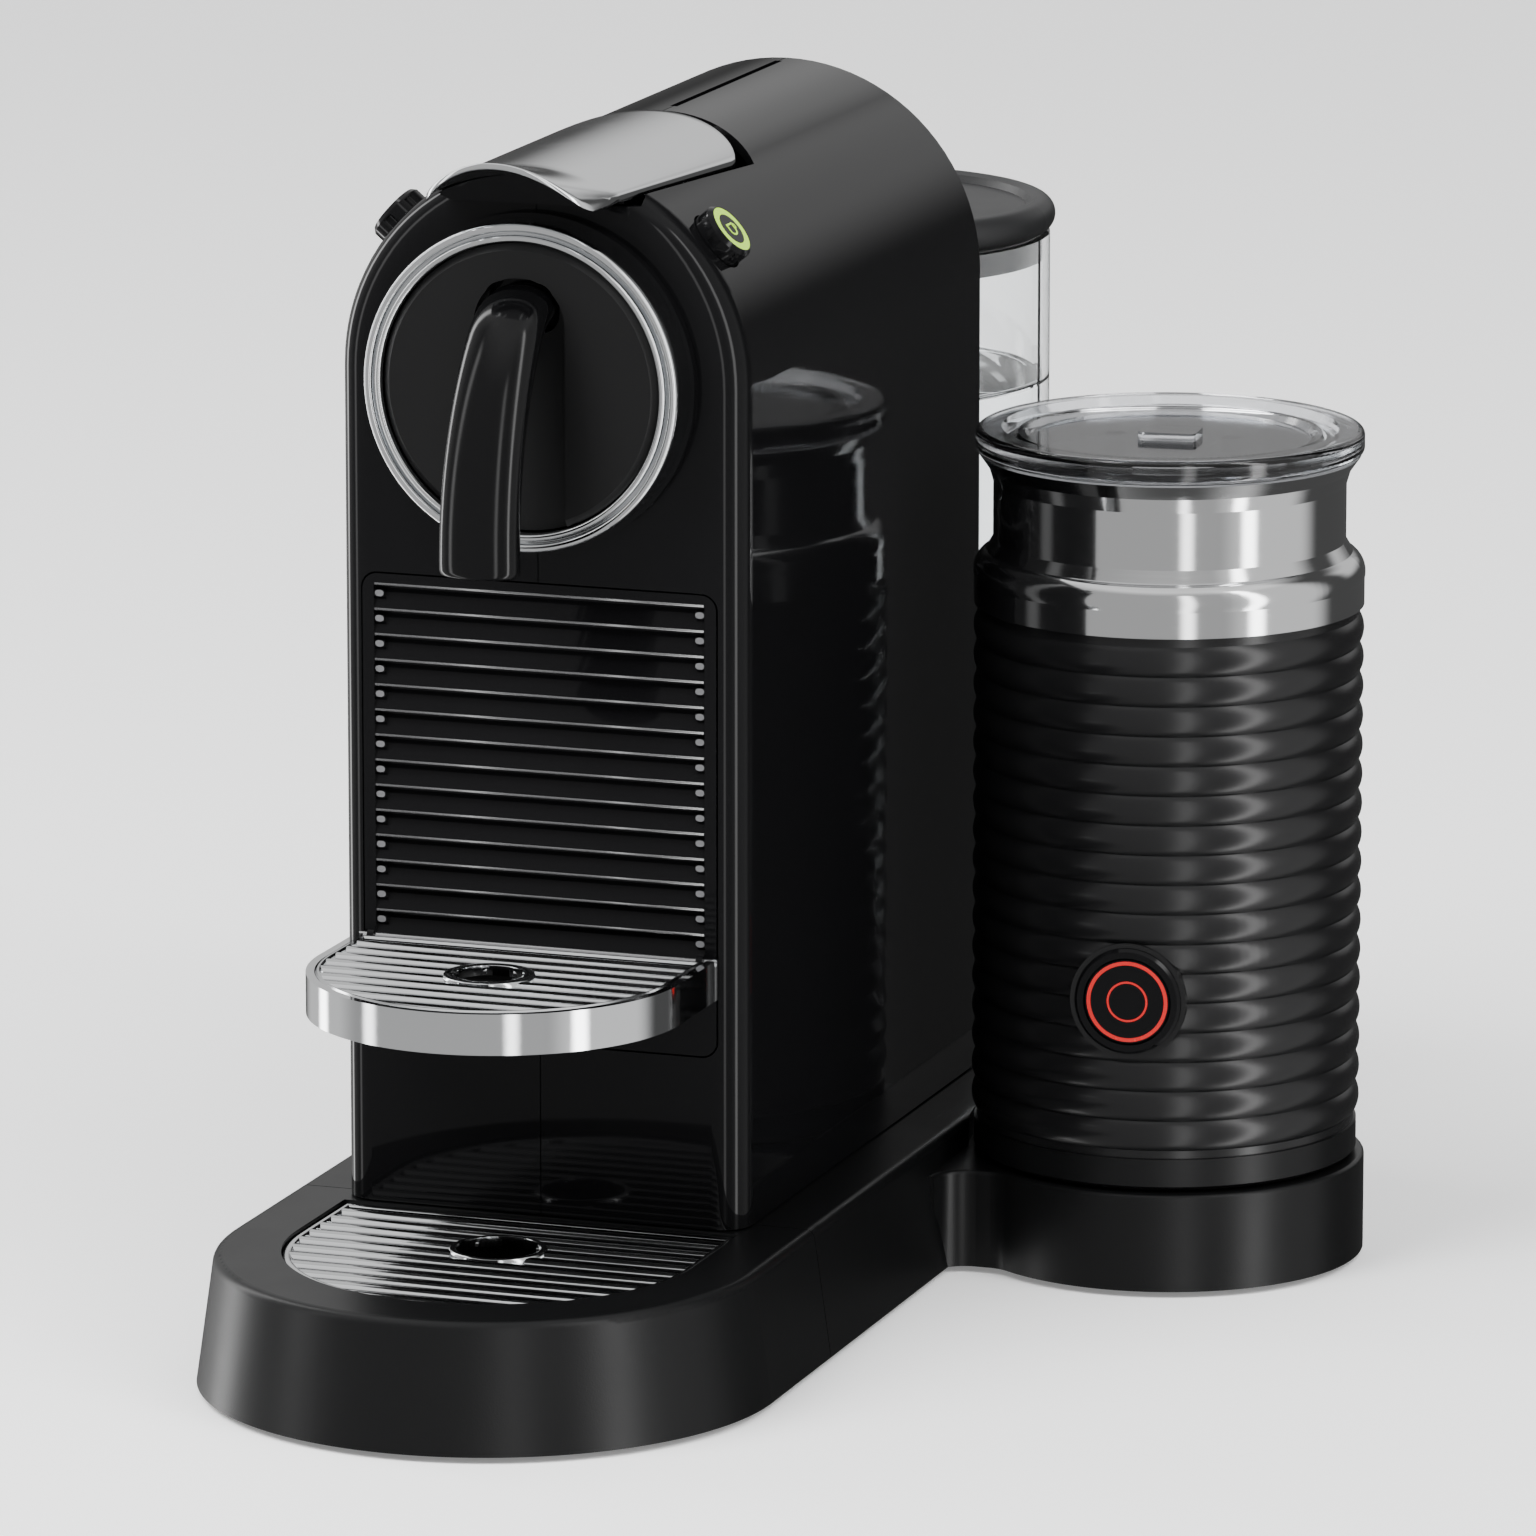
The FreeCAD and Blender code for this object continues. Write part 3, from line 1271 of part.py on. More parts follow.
def jug_lid():
    """A clear lid with raised rings, a square knob that holds the spare whisk, and a skirt."""
    body = jug_body("jug_lid")
    low, top = s.jug_lid_low, s.jug_lid_top
    out = s.jug_radius - 0.3
    skirt = s.bowl_radius - s.bowl_wall - 1.6
    turned(body, "z", loop(
        (0, top - 2.6), (33.4, top - 2.6), (34.4, top - 1.2), (36, top - 1.2), (37, top - 2),
        (39, top - 2), (40, top), (out - 1.6, top), (out, top - 1.6, out - 1.6, top - 1.6, -1),
        (out, low + 1.4), (out - 1.4, low, out - 1.4, low + 1.4, -1), (skirt, low),
        (skirt, low - 6), (skirt - 1.8, low - 6), (skirt - 1.8, top - 4.4), (0, top - 4.4)))
    pad(body, "z", top - 3, top - 0.7, rounded(-7, -5.4, 7, 5.4, 1.4))
    pad(body, "z", top - 12, top - 4, circle(-14, 4, 2.4), circle(14, 4, 2.4))


def lid_seal():
    body = jug_body("lid_seal")
    skirt = s.bowl_radius - s.bowl_wall - 1.6
    low = s.jug_lid_low - 4.6
    turned(body, "z", loop((skirt, low), (skirt + 1.2, low + 0.8), (skirt + 1.2, low + 2.2),
                           (skirt, low + 3)))


for build in (grille_panel, capsule_bin, shelf_band, shelf_tray, shelf_pin, water_tank, tank_valve,
              tank_lid, jug_base, jug_sleeve, jug_collar, jug_bowl, jug_heater, jug_motor,
              drive_magnet, whisk, jug_button_bezel, jug_button, jug_light, jug_lid, lid_seal):
    build()
grate("shelf_grate", s.shelf_half - s.shelf_skin - 0.2, s.shelf_turn, -6, s.shelf_high - 2.5,
      s.shelf_high - 0.2, SHELF_SLOTS, s.shelf_pitch, s.shelf_hole_y, s.shelf_hole, 0.7)


# ---- checks, then one STEP file for each sub-part ---------------------------------------------------

doc.recompute()
for item in doc.Objects:
    if "Invalid" in item.State or "Error" in item.State:
        raise RuntimeError(f"{item.Name} failed: {item.getStatusString()}")
labels = [item.Label for item in subparts]
if len(set(labels)) != len(labels):
    raise RuntimeError("two sub-parts share a label")
for item in subparts:
    if item.Shape.isNull() or not item.Shape.isValid() or not item.Shape.Solids:
        raise RuntimeError(f"{item.Label} has no valid solid")

os.makedirs("parts", exist_ok=True)
for item in subparts:
    item.Shape.exportStep(f"parts/{item.Label}.step")
print(f"wrote {len(subparts)} sub-parts")
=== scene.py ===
import math

import bmesh
import bpy
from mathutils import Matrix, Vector


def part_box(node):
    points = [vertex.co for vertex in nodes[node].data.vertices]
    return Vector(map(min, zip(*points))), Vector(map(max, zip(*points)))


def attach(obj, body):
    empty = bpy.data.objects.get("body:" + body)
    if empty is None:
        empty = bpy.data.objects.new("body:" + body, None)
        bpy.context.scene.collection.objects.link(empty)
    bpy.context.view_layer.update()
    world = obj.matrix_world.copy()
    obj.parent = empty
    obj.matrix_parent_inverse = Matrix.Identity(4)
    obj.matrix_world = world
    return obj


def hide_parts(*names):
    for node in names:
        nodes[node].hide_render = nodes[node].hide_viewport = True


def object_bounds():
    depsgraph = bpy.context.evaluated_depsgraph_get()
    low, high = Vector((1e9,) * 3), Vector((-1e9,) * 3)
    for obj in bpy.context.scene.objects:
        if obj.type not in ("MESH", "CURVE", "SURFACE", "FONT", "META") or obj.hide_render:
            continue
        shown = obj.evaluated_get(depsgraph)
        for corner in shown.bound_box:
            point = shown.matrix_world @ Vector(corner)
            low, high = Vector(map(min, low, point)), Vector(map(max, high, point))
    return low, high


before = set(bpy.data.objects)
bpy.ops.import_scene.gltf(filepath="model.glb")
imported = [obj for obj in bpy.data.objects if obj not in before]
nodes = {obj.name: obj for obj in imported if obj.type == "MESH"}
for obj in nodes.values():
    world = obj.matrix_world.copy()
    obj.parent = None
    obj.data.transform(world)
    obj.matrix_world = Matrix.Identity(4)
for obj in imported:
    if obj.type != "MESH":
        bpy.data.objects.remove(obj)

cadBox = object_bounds()
mm = 0.001

view = {
    "target": Vector((11.26, -87.5, 142.0)) * mm,
    "azimuth": 19.308,  # degrees round from straight in front, to the jug's side
    "elevation": 12.348,
    "distance": 2.4991,
    "lens": 256.9,
    "sensor": 36.0,
}


def aimed(azimuth, elevation):
    turn = math.radians(azimuth)
    lift = math.radians(elevation)
    return Vector((math.sin(turn) * math.cos(lift), -math.cos(turn) * math.cos(lift),
                   math.sin(lift)))


def makeCamera():
    away = aimed(view["azimuth"], view["elevation"])
    lens = bpy.data.cameras.new("productCamera")
    lens.lens = view["lens"]
    lens.sensor_width = view["sensor"]
    camera = bpy.data.objects.new("productCamera", lens)
    camera.location = view["target"] + away * view["distance"]
    camera.rotation_euler = (-away).to_track_quat("-Z", "Y").to_euler()
    bpy.context.scene.collection.objects.link(camera)
    bpy.context.scene.camera = camera


studio = {
    "floorColour": (0.93, 0.932, 0.936, 1),
    "floorRoughness": 0.7,
    "floorGlow": 0.2,
    "floorReach": 14.0,
    "skyColour": (0.86, 0.865, 0.875, 1),
    "ambient": 0.10,
    # azimuth from, azimuth to, elevation from, elevation to, feather, strength
    "panels": {
        "front": (-75, 60, -70, 60, 14, 0.5),
        "right": (58, 120, -70, 60, 10, 0.95),
        "left": (-140, -80, -70, 60, 12, 0.8),
        "rightStrip": (66, 75, -60, 55, 3, 9.0),
        "leftStrip": (-114, -104, -60, 55, 3, 9.0),
        "nearRight": (25, 32, -60, 45, 3, 4.5),
        "nearLeft": (-67, -59, -60, 45, 3, 4.5),
        "shoulder": (148, 182, 8, 30, 7, 0.9),
        "behind": (-182, -140, 10, 50, 8, 0.9),
        "top": (-185, 185, 55, 95, 12, 1.2),
    },
    # azimuth, elevation, distance, size, power
    "lamps": {
        "keyLamp": (-38, 52, 2.4, 1.6, 88),
        "fillLamp": (62, 50, 2.6, 1.8, 46),
    },
}


def linked(tree, kind, at=(0, 0), **values):
    node = tree.nodes.new(kind)
    node.location = at
    for name, value in values.items():
        setattr(node, name, value)
    return node


def mathNode(tree, operation, first, second=None, third=None):
    node = tree.nodes.new("ShaderNodeMath")
    node.operation = operation
    for socket, value in zip(node.inputs, (first, second, third)):
        if value is None:
            continue
        if hasattr(value, "is_output"):
            tree.links.new(value, socket)
        else:
            socket.default_value = value
    return node.outputs[0]


def ramped(tree, value, low, high, start=0.0, end=1.0):
    node = tree.nodes.new("ShaderNodeMapRange")
    node.interpolation_type = "SMOOTHSTEP"
    tree.links.new(value, node.inputs["Value"])
    node.inputs["From Min"].default_value = low
    node.inputs["From Max"].default_value = high
    node.inputs["To Min"].default_value = start
    node.inputs["To Max"].default_value = end
    return node.outputs["Result"]


def makeWorld():
    world = bpy.data.worlds.new("softStudio")
    bpy.context.scene.world = world
    world.use_nodes = True
    tree = world.node_tree
    tree.nodes.clear()
    way = linked(tree, "ShaderNodeTexCoord")
    parts = linked(tree, "ShaderNodeSeparateXYZ")
    tree.links.new(way.outputs["Generated"], parts.inputs[0])
    back = mathNode(tree, "MULTIPLY", parts.outputs["Y"], -1)
    azimuth = mathNode(tree, "DEGREES", mathNode(tree, "ARCTAN2", parts.outputs["X"], back))
    elevation = mathNode(tree, "DEGREES", mathNode(tree, "ARCSINE", parts.outputs["Z"]))
    total = None
    for left, right, low, high, feather, strength in studio["panels"].values():
        edges = [ramped(tree, azimuth, left - feather, left + feather),
                 ramped(tree, azimuth, right - feather, right + feather, 1, 0),
                 ramped(tree, elevation, low - feather, low + feather),
                 ramped(tree, elevation, high - feather, high + feather, 1, 0)]
        shape = edges[0]
        for edge in edges[1:]:
            shape = mathNode(tree, "MULTIPLY", shape, edge)
        light = mathNode(tree, "MULTIPLY", shape, strength)
        total = light if total is None else mathNode(tree, "ADD", total, light)
    total = mathNode(tree, "ADD", total, studio["ambient"])
    seen = linked(tree, "ShaderNodeLightPath")
    softboxes = linked(tree, "ShaderNodeBackground")
    tree.links.new(total, softboxes.inputs["Strength"])
    backdrop = linked(tree, "ShaderNodeBackground")
    backdrop.inputs["Color"].default_value = studio["skyColour"]
    either = linked(tree, "ShaderNodeMixShader")
    tree.links.new(seen.outputs["Is Camera Ray"], either.inputs[0])
    tree.links.new(softboxes.outputs[0], either.inputs[1])
    tree.links.new(backdrop.outputs[0], either.inputs[2])
    out = linked(tree, "ShaderNodeOutputWorld")
    tree.links.new(either.outputs[0], out.inputs["Surface"])


def makeFloor():
    mesh = bpy.data.meshes.new("studioFloor")
    reach = studio["floorReach"]
    mesh.from_pydata([(-reach, -reach, 0), (reach, -reach, 0), (reach, reach, 0),
                      (-reach, reach, 0)], [], [(0, 1, 2, 3)])
    floor = bpy.data.objects.new("studioFloor", mesh)
    bpy.context.scene.collection.objects.link(floor)
    floor.location.z = cadBox[0].z - 0.0001
    paint = bpy.data.materials.new("studioFloor")
    paint.use_nodes = True
    shader = paint.node_tree.nodes["Principled BSDF"]
    shader.inputs["Base Color"].default_value = studio["floorColour"]
    shader.inputs["Roughness"].default_value = studio["floorRoughness"]
    shader.inputs["Specular IOR Level"].default_value = 0.2
    shader.inputs["Emission Color"].default_value = (1, 1, 1, 1)
    shader.inputs["Emission Strength"].default_value = studio["floorGlow"]
    mesh.materials.append(paint)
    floor.visible_glossy = False  # the softboxes make the reflections


def makeLamps():
    for name, (azimuth, elevation, distance, size, power) in studio["lamps"].items():
        lamp = bpy.data.lights.new(name, "AREA")
        lamp.shape = "DISK"
        lamp.size = size
        lamp.energy = power
        away = aimed(azimuth, elevation)
        thing = bpy.data.objects.new(name, lamp)
        thing.location = away * distance
        thing.rotation_euler = (-away).to_track_quat("-Z", "Y").to_euler()
        thing.visible_glossy = False
        thing.visible_camera = False
        bpy.context.scene.collection.objects.link(thing)


makeCamera()
makeWorld()
makeFloor()
makeLamps()
print("studio ready")


def newGroup(name, inputs, outputs):
    group = bpy.data.node_groups.new(name, "ShaderNodeTree")
    for label, value in inputs.items():
        socket = group.interface.new_socket(name=label, in_out="INPUT",
                                            socket_type="NodeSocketFloat")
        socket.default_value = value
    for label in outputs:
        group.interface.new_socket(name=label, in_out="OUTPUT", socket_type="NodeSocketFloat")
    return group, group.nodes.new("NodeGroupInput"), group.nodes.new("NodeGroupOutput")


def objectNoise(tree, scale, detail=3.0, roughness=0.5, stretch=(1, 1, 1)):
    place = tree.nodes.new("ShaderNodeTexCoord")
    mapping = tree.nodes.new("ShaderNodeMapping")
    mapping.inputs["Scale"].default_value = stretch
    noise = tree.nodes.new("ShaderNodeTexNoise")
    noise.inputs["Detail"].default_value = detail
    noise.inputs["Roughness"].default_value = roughness
    tree.links.new(place.outputs["Object"], mapping.inputs[0])
    tree.links.new(mapping.outputs[0], noise.inputs["Vector"])
    if hasattr(scale, "is_output"):
        tree.links.new(scale, noise.inputs["Scale"])
    else:
        noise.inputs["Scale"].default_value = scale
    return noise.outputs["Fac"]


def makePolish():
    group, given, made = newGroup("polishHaze", {"Roughness": 0.08, "Haze": 0.05, "Scale": 45},
                                  ("Roughness", "Height"))
    cloud = objectNoise(group, given.outputs["Scale"], 4, 0.6)
    ripple = objectNoise(group, mathNode(group, "MULTIPLY", given.outputs["Scale"], 9), 2, 0.4)
    haze = mathNode(group, "MULTIPLY", ramped(group, cloud, 0.4, 0.75), given.outputs["Haze"])
    group.links.new(mathNode(group, "ADD", given.outputs["Roughness"], haze),
                    made.inputs["Roughness"])
    group.links.new(ripple, made.inputs["Height"])
    return group


def makeGrain():
    group, given, made = newGroup("mouldGrain", {"Roughness": 0.4, "Spread": 0.1, "Scale": 2600},
                                  ("Roughness", "Height"))
    fine = objectNoise(group, given.outputs["Scale"], 2, 0.6)
    broad = objectNoise(group, mathNode(group, "MULTIPLY", given.outputs["Scale"], 0.02), 3, 0.5)
    spread = mathNode(group, "MULTIPLY", mathNode(group, "SUBTRACT", broad, 0.5),
                      given.outputs["Spread"])
    group.links.new(mathNode(group, "ADD", given.outputs["Roughness"], spread),
                    made.inputs["Roughness"])
    group.links.new(fine, made.inputs["Height"])
    return group


def makeBrushed(name, stretch):
    group, given, made = newGroup(name, {"Roughness": 0.2, "Spread": 0.1, "Scale": 400},
                                  ("Roughness", "Height"))
    lines = objectNoise(group, given.outputs["Scale"], 3, 0.6, stretch)
    spread = mathNode(group, "MULTIPLY", mathNode(group, "SUBTRACT", lines, 0.5),
                      given.outputs["Spread"])
    group.links.new(mathNode(group, "ADD", given.outputs["Roughness"], spread),
                    made.inputs["Roughness"])
    group.links.new(lines, made.inputs["Height"])
    return group


effects = {  # shared surface effects
    "polish": makePolish(),
    "grain": makeGrain(),
    "ringBrushed": makeBrushed("ringBrushed", (0.04, 0.04, 3)),
}


reliefDepth = 0.0002  # metres


def finish(name, colour, effect, settings, bump=0.0, sockets=None, tint=None):
    material = bpy.data.materials.new(name)
    material.use_nodes = True
    tree = material.node_tree
    shader = tree.nodes["Principled BSDF"]
    shader.inputs["Base Color"].default_value = (*colour, 1)
    for label, value in (sockets or {}).items():
        shader.inputs[label].default_value = value
    surface = tree.nodes.new("ShaderNodeGroup")
    surface.node_tree = effects[effect]
    for label, value in settings.items():
        surface.inputs[label].default_value = value
    tree.links.new(surface.outputs["Roughness"], shader.inputs["Roughness"])
    if bump:
        relief = tree.nodes.new("ShaderNodeBump")
        relief.inputs["Strength"].default_value = bump
        relief.inputs["Distance"].default_value = reliefDepth
        tree.links.new(surface.outputs["Height"], relief.inputs["Height"])
        tree.links.new(relief.outputs[0], shader.inputs["Normal"])
    if tint:
        mix = tree.nodes.new("ShaderNodeMix")
        mix.data_type = "RGBA"
        mix.inputs[6].default_value = (*colour, 1)  # 6 and 7 are the two colours, output 2 the mix
        mix.inputs[7].default_value = (*tint, 1)
        tree.links.new(surface.outputs["Height"], mix.inputs[0])
        tree.links.new(mix.outputs[2], shader.inputs["Base Color"])
    return material


finishes = {
    "pianoBlack": finish("pianoBlack", (0.0035, 0.0035, 0.0038), "polish",
                         {"Roughness": 0.045, "Haze": 0.03, "Scale": 30}, sockets={"IOR": 1.25}),
    "spoutBlack": finish("spoutBlack", (0.002, 0.002, 0.0022), "polish",
                         {"Roughness": 0.11, "Haze": 0.04, "Scale": 60}, sockets={"IOR": 1.33}),
    "discBlack": finish("discBlack", (0.004, 0.004, 0.0042), "grain",
                        {"Roughness": 0.34, "Spread": 0.08, "Scale": 2400}, 0.06,
                        sockets={"IOR": 1.42}),
    "baseBlack": finish("baseBlack", (0.0035, 0.0036, 0.0038), "grain",
                        {"Roughness": 0.33, "Spread": 0.10, "Scale": 2200}, 0.10,
                        sockets={"IOR": 1.34}),
    "sleeveBlack": finish("sleeveBlack", (0.005, 0.005, 0.0053), "grain",
                          {"Roughness": 0.24, "Spread": 0.08, "Scale": 2600}, 0.05,
                          sockets={"IOR": 1.46}),
    "lidGrey": finish("lidGrey", (0.009, 0.0092, 0.0098), "grain",
                      {"Roughness": 0.42, "Spread": 0.10, "Scale": 2000}, 0.10,
                      sockets={"IOR": 1.46}),
    "innerBlack": finish("innerBlack", (0.012, 0.012, 0.012), "grain",
                         {"Roughness": 0.48, "Spread": 0.12, "Scale": 1800}, 0.15),
    "chrome": finish("chrome", (0.80, 0.81, 0.82), "polish",
                     {"Roughness": 0.05, "Haze": 0.05, "Scale": 55}, 0.02,
                     sockets={"Metallic": 1.0}),
    "barChrome": finish("barChrome", (0.72, 0.73, 0.74), "polish",
                        {"Roughness": 0.09, "Haze": 0.08, "Scale": 80}, 0.04,
                        sockets={"Metallic": 1.0}),
    # painted shade: a near-black copy of barChrome, put on the sides of the bars so they read as
    # shaded
    "barPaintedShade": finish("barPaintedShade", (0.035, 0.035, 0.036), "polish",
                       {"Roughness": 0.2, "Haze": 0.10, "Scale": 80}, 0.04,
                       sockets={"Metallic": 1.0}),
    "collarSteel": finish("collarSteel", (0.74, 0.745, 0.75), "ringBrushed",
                          {"Roughness": 0.09, "Spread": 0.06, "Scale": 500}, 0.02,
                          sockets={"Metallic": 1.0}),
    "innerSteel": finish("innerSteel", (0.55, 0.55, 0.56), "ringBrushed",
                         {"Roughness": 0.26, "Spread": 0.12, "Scale": 600}, 0.08,
                         sockets={"Metallic": 1.0}),
    "brass": finish("brass", (0.60, 0.43, 0.20), "ringBrushed",
                    {"Roughness": 0.28, "Spread": 0.12, "Scale": 600}, 0.06,
                    sockets={"Metallic": 1.0}),
    "castAlloy": finish("castAlloy", (0.48, 0.49, 0.50), "grain",
                        {"Roughness": 0.5, "Spread": 0.2, "Scale": 900}, 0.35,
                        sockets={"Metallic": 1.0}),
    "softRubber": finish("softRubber", (0.018, 0.018, 0.018), "grain",
                         {"Roughness": 0.68, "Spread": 0.12, "Scale": 1500}, 0.25),
    "boardGreen": finish("boardGreen", (0.02, 0.11, 0.045), "grain",
                         {"Roughness": 0.35, "Spread": 0.10, "Scale": 1500}, 0.10,
                         tint=(0.03, 0.17, 0.07)),
    "leverChrome": finish("leverChrome", (0.86, 0.87, 0.88), "polish",
                          {"Roughness": 0.10, "Haze": 0.05, "Scale": 40}, 0.02,
                          sockets={"Metallic": 1.0}),
    # painted highlight: a lighter grey gloss black for the slat lips, standing in for the light
    # their edges catch
    "slatPaintedHighlight": finish("slatPaintedHighlight", (0.05, 0.05, 0.052), "polish",
                       {"Roughness": 0.22, "Haze": 0.05, "Scale": 60}, 0.02, sockets={"IOR": 2.4}),
    # painted highlight: a still lighter grey for the caps on the end tabs, standing in for their
    # glint
    "tabPaintedHighlight": finish("tabPaintedHighlight", (0.10, 0.10, 0.105), "polish",
                      {"Roughness": 0.2, "Haze": 0.05, "Scale": 60}, 0.02, sockets={"IOR": 2.2}),
    "limeLight": finish("limeLight", (0.36, 0.62, 0.03), "polish",
                        {"Roughness": 0.25, "Haze": 0.05, "Scale": 60}, 0.02,
                        sockets={"Emission Color": (0.36, 0.72, 0.02, 1),
                                 "Emission Strength": 0.35}),
    "redLight": finish("redLight", (0.5, 0.002, 0.002), "polish",
                       {"Roughness": 0.25, "Haze": 0.05, "Scale": 60}, 0.02,
                       sockets={"Emission Color": (1.0, 0.002, 0.002, 1),
                                "Emission Strength": 0.02}),
    "clearTank": finish("clearTank", (0.97, 0.985, 0.99), "polish",
                        {"Roughness": 0.02, "Haze": 0.02, "Scale": 30},
                        sockets={"IOR": 1.49, "Transmission Weight": 1.0}),
    "smokeLid": finish("smokeLid", (0.55, 0.56, 0.58), "polish",
                       {"Roughness": 0.05, "Haze": 0.03, "Scale": 40},
                       sockets={"IOR": 1.49, "Transmission Weight": 1.0}),
    "water": finish("water", (0.97, 0.99, 1.0), "polish",
                    {"Roughness": 0.01, "Haze": 0.01, "Scale": 20}, 0.01,
                    sockets={"IOR": 1.33, "Transmission Weight": 1.0}),
}

worn = {  # which nodes wear each finish
    "pianoBlack": ["side_shell_right", "side_shell_left", "outlet_housing", "grille_panel",
                   "lever_arm", "espresso_button", "lungo_button", "jug_button",
                   "jug_button_bezel"],
    "spoutBlack": ["coffee_spout"],
    "discBlack": ["outlet_disc", "back_panel"],
    "baseBlack": ["drip_tray", "rear_base", "jug_base"],
    "sleeveBlack": ["jug_sleeve"],
    "lidGrey": ["tank_lid"],
    "innerBlack": ["base_cover_plate", "brew_frame", "capsule_bin", "drawer_rails",
                   "espresso_switch", "lungo_switch", "flow_meter", "shelf_tray", "spout_nozzle",
                   "tank_socket", "tank_valve"],
    "chrome": ["lever_cap", "outlet_ring", "shelf_band"],
    "barChrome": ["drip_grate", "shelf_grate"],
    "collarSteel": ["jug_collar"],
    "innerSteel": ["base_screws", "capsule_cage", "dock_connector", "drive_magnet",
                   "extraction_plate", "jug_bowl", "jug_motor", "lever_pin", "pump", "shelf_pin",
                   "whisk"],
    "brass": ["jug_heater"],
    "castAlloy": ["thermoblock"],
    "softRubber": ["cord_gland", "lid_seal", "pump_mounts", "rubber_feet", "tray_feet",
                   "water_hoses"],
    "boardGreen": ["control_board"],
    "limeLight": ["espresso_light", "lungo_light"],
    "redLight": ["jug_light"],
    "clearTank": ["water_tank"],
    "smokeLid": ["jug_lid"],
}

for finishName, wearers in worn.items():
    for wearer in wearers:
        for place in nodes[wearer].material_slots:
            place.material = finishes[finishName]
print("finishes given to", sum(len(wearers) for wearers in worn.values()), "nodes")

leftBox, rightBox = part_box("side_shell_left"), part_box("side_shell_right")
midX = (leftBox[0].x + rightBox[1].x) / 2
frontY = min(leftBox[0].y, rightBox[0].y)


def placed(x, y, z):  # millimetres from the foot of the casing's front, at its middle
    return Vector((midX + x * mm, frontY + y * mm, z * mm))


def newPiece(name, bm, body, material, *stoodFor, smooth=True, angle=None):
    bmesh.ops.recalc_face_normals(bm, faces=bm.faces)
    mesh = bpy.data.meshes.new(name)
    bm.to_mesh(mesh)
    bm.free()
    piece = bpy.data.objects.new(name, mesh)
    bpy.context.scene.collection.objects.link(piece)
    mesh.materials.append(finishes[material])
    for face in mesh.polygons:
        face.use_smooth = smooth
    if angle:
        mesh.set_sharp_from_angle(angle=math.radians(angle))
    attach(piece, body)
    if stoodFor:
        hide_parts(*stoodFor)
    return piece


def softened(points, rounds=2, closed=False):  # cuts the corners of an outline again and again
    for _ in range(rounds):
        fresh = [] if closed else [points[0]]
        pairs = zip(points, points[1:] + (points[:1] if closed else []))
        for a, b in pairs:
            fresh.append(tuple(p * 0.75 + q * 0.25 for p, q in zip(a, b)))
            fresh.append(tuple(p * 0.25 + q * 0.75 for p, q in zip(a, b)))
        points = fresh if closed else fresh + [points[-1]]
    return points


def lathe(bm, outline, where, steps=128):
    rings = []
    for step in range(steps):
        turn = 2 * math.pi * step / steps
        rings.append([bm.verts.new(where(radius, along, turn)) for radius, along in outline])
    count = len(outline)
    for step in range(steps):
        here, there = rings[step], rings[(step + 1) % steps]
        for k in range(count):
            n = (k + 1) % count
            bm.faces.new((here[k], here[n], there[n], there[k]))


def loft(bm, rows, capStart=True, capEnd=True):
    made = [[bm.verts.new(point) for point in row] for row in rows]
    count = len(rows[0])
    for here, there in zip(made, made[1:]):
        for k in range(count):
            n = (k + 1) % count
            bm.faces.new((here[k], here[n], there[n], there[k]))
    if capStart:
        bm.faces.new(made[0])
    if capEnd:
        bm.faces.new(made[-1])
    return made


# The grates: half-round bars in a frame, and a raised ring round the hole.
dripGrate = {"rim": 1.9, "deep": 2.2, "bars": 11, "barWide": 4.7, "barHigh": 1.7, "holeY": -28,
             "hole": 9.8, "ringWide": 1.5, "ringProud": 0.2}
shelfGrate = {"rim": 1.3, "deep": 2.2, "bars": 9, "barWide": 4.6, "barHigh": 1.7, "holeY": -33,
              "hole": 8.0, "ringWide": 2.6, "ringProud": 0.25}


def tonguePath(half, turn, back, steps=48):
    curve = [(half * math.cos(math.pi * k / steps), turn - half * math.sin(math.pi * k / steps))
             for k in range(steps + 1)]
    return [(half, back)] + curve + [(-half, back)]


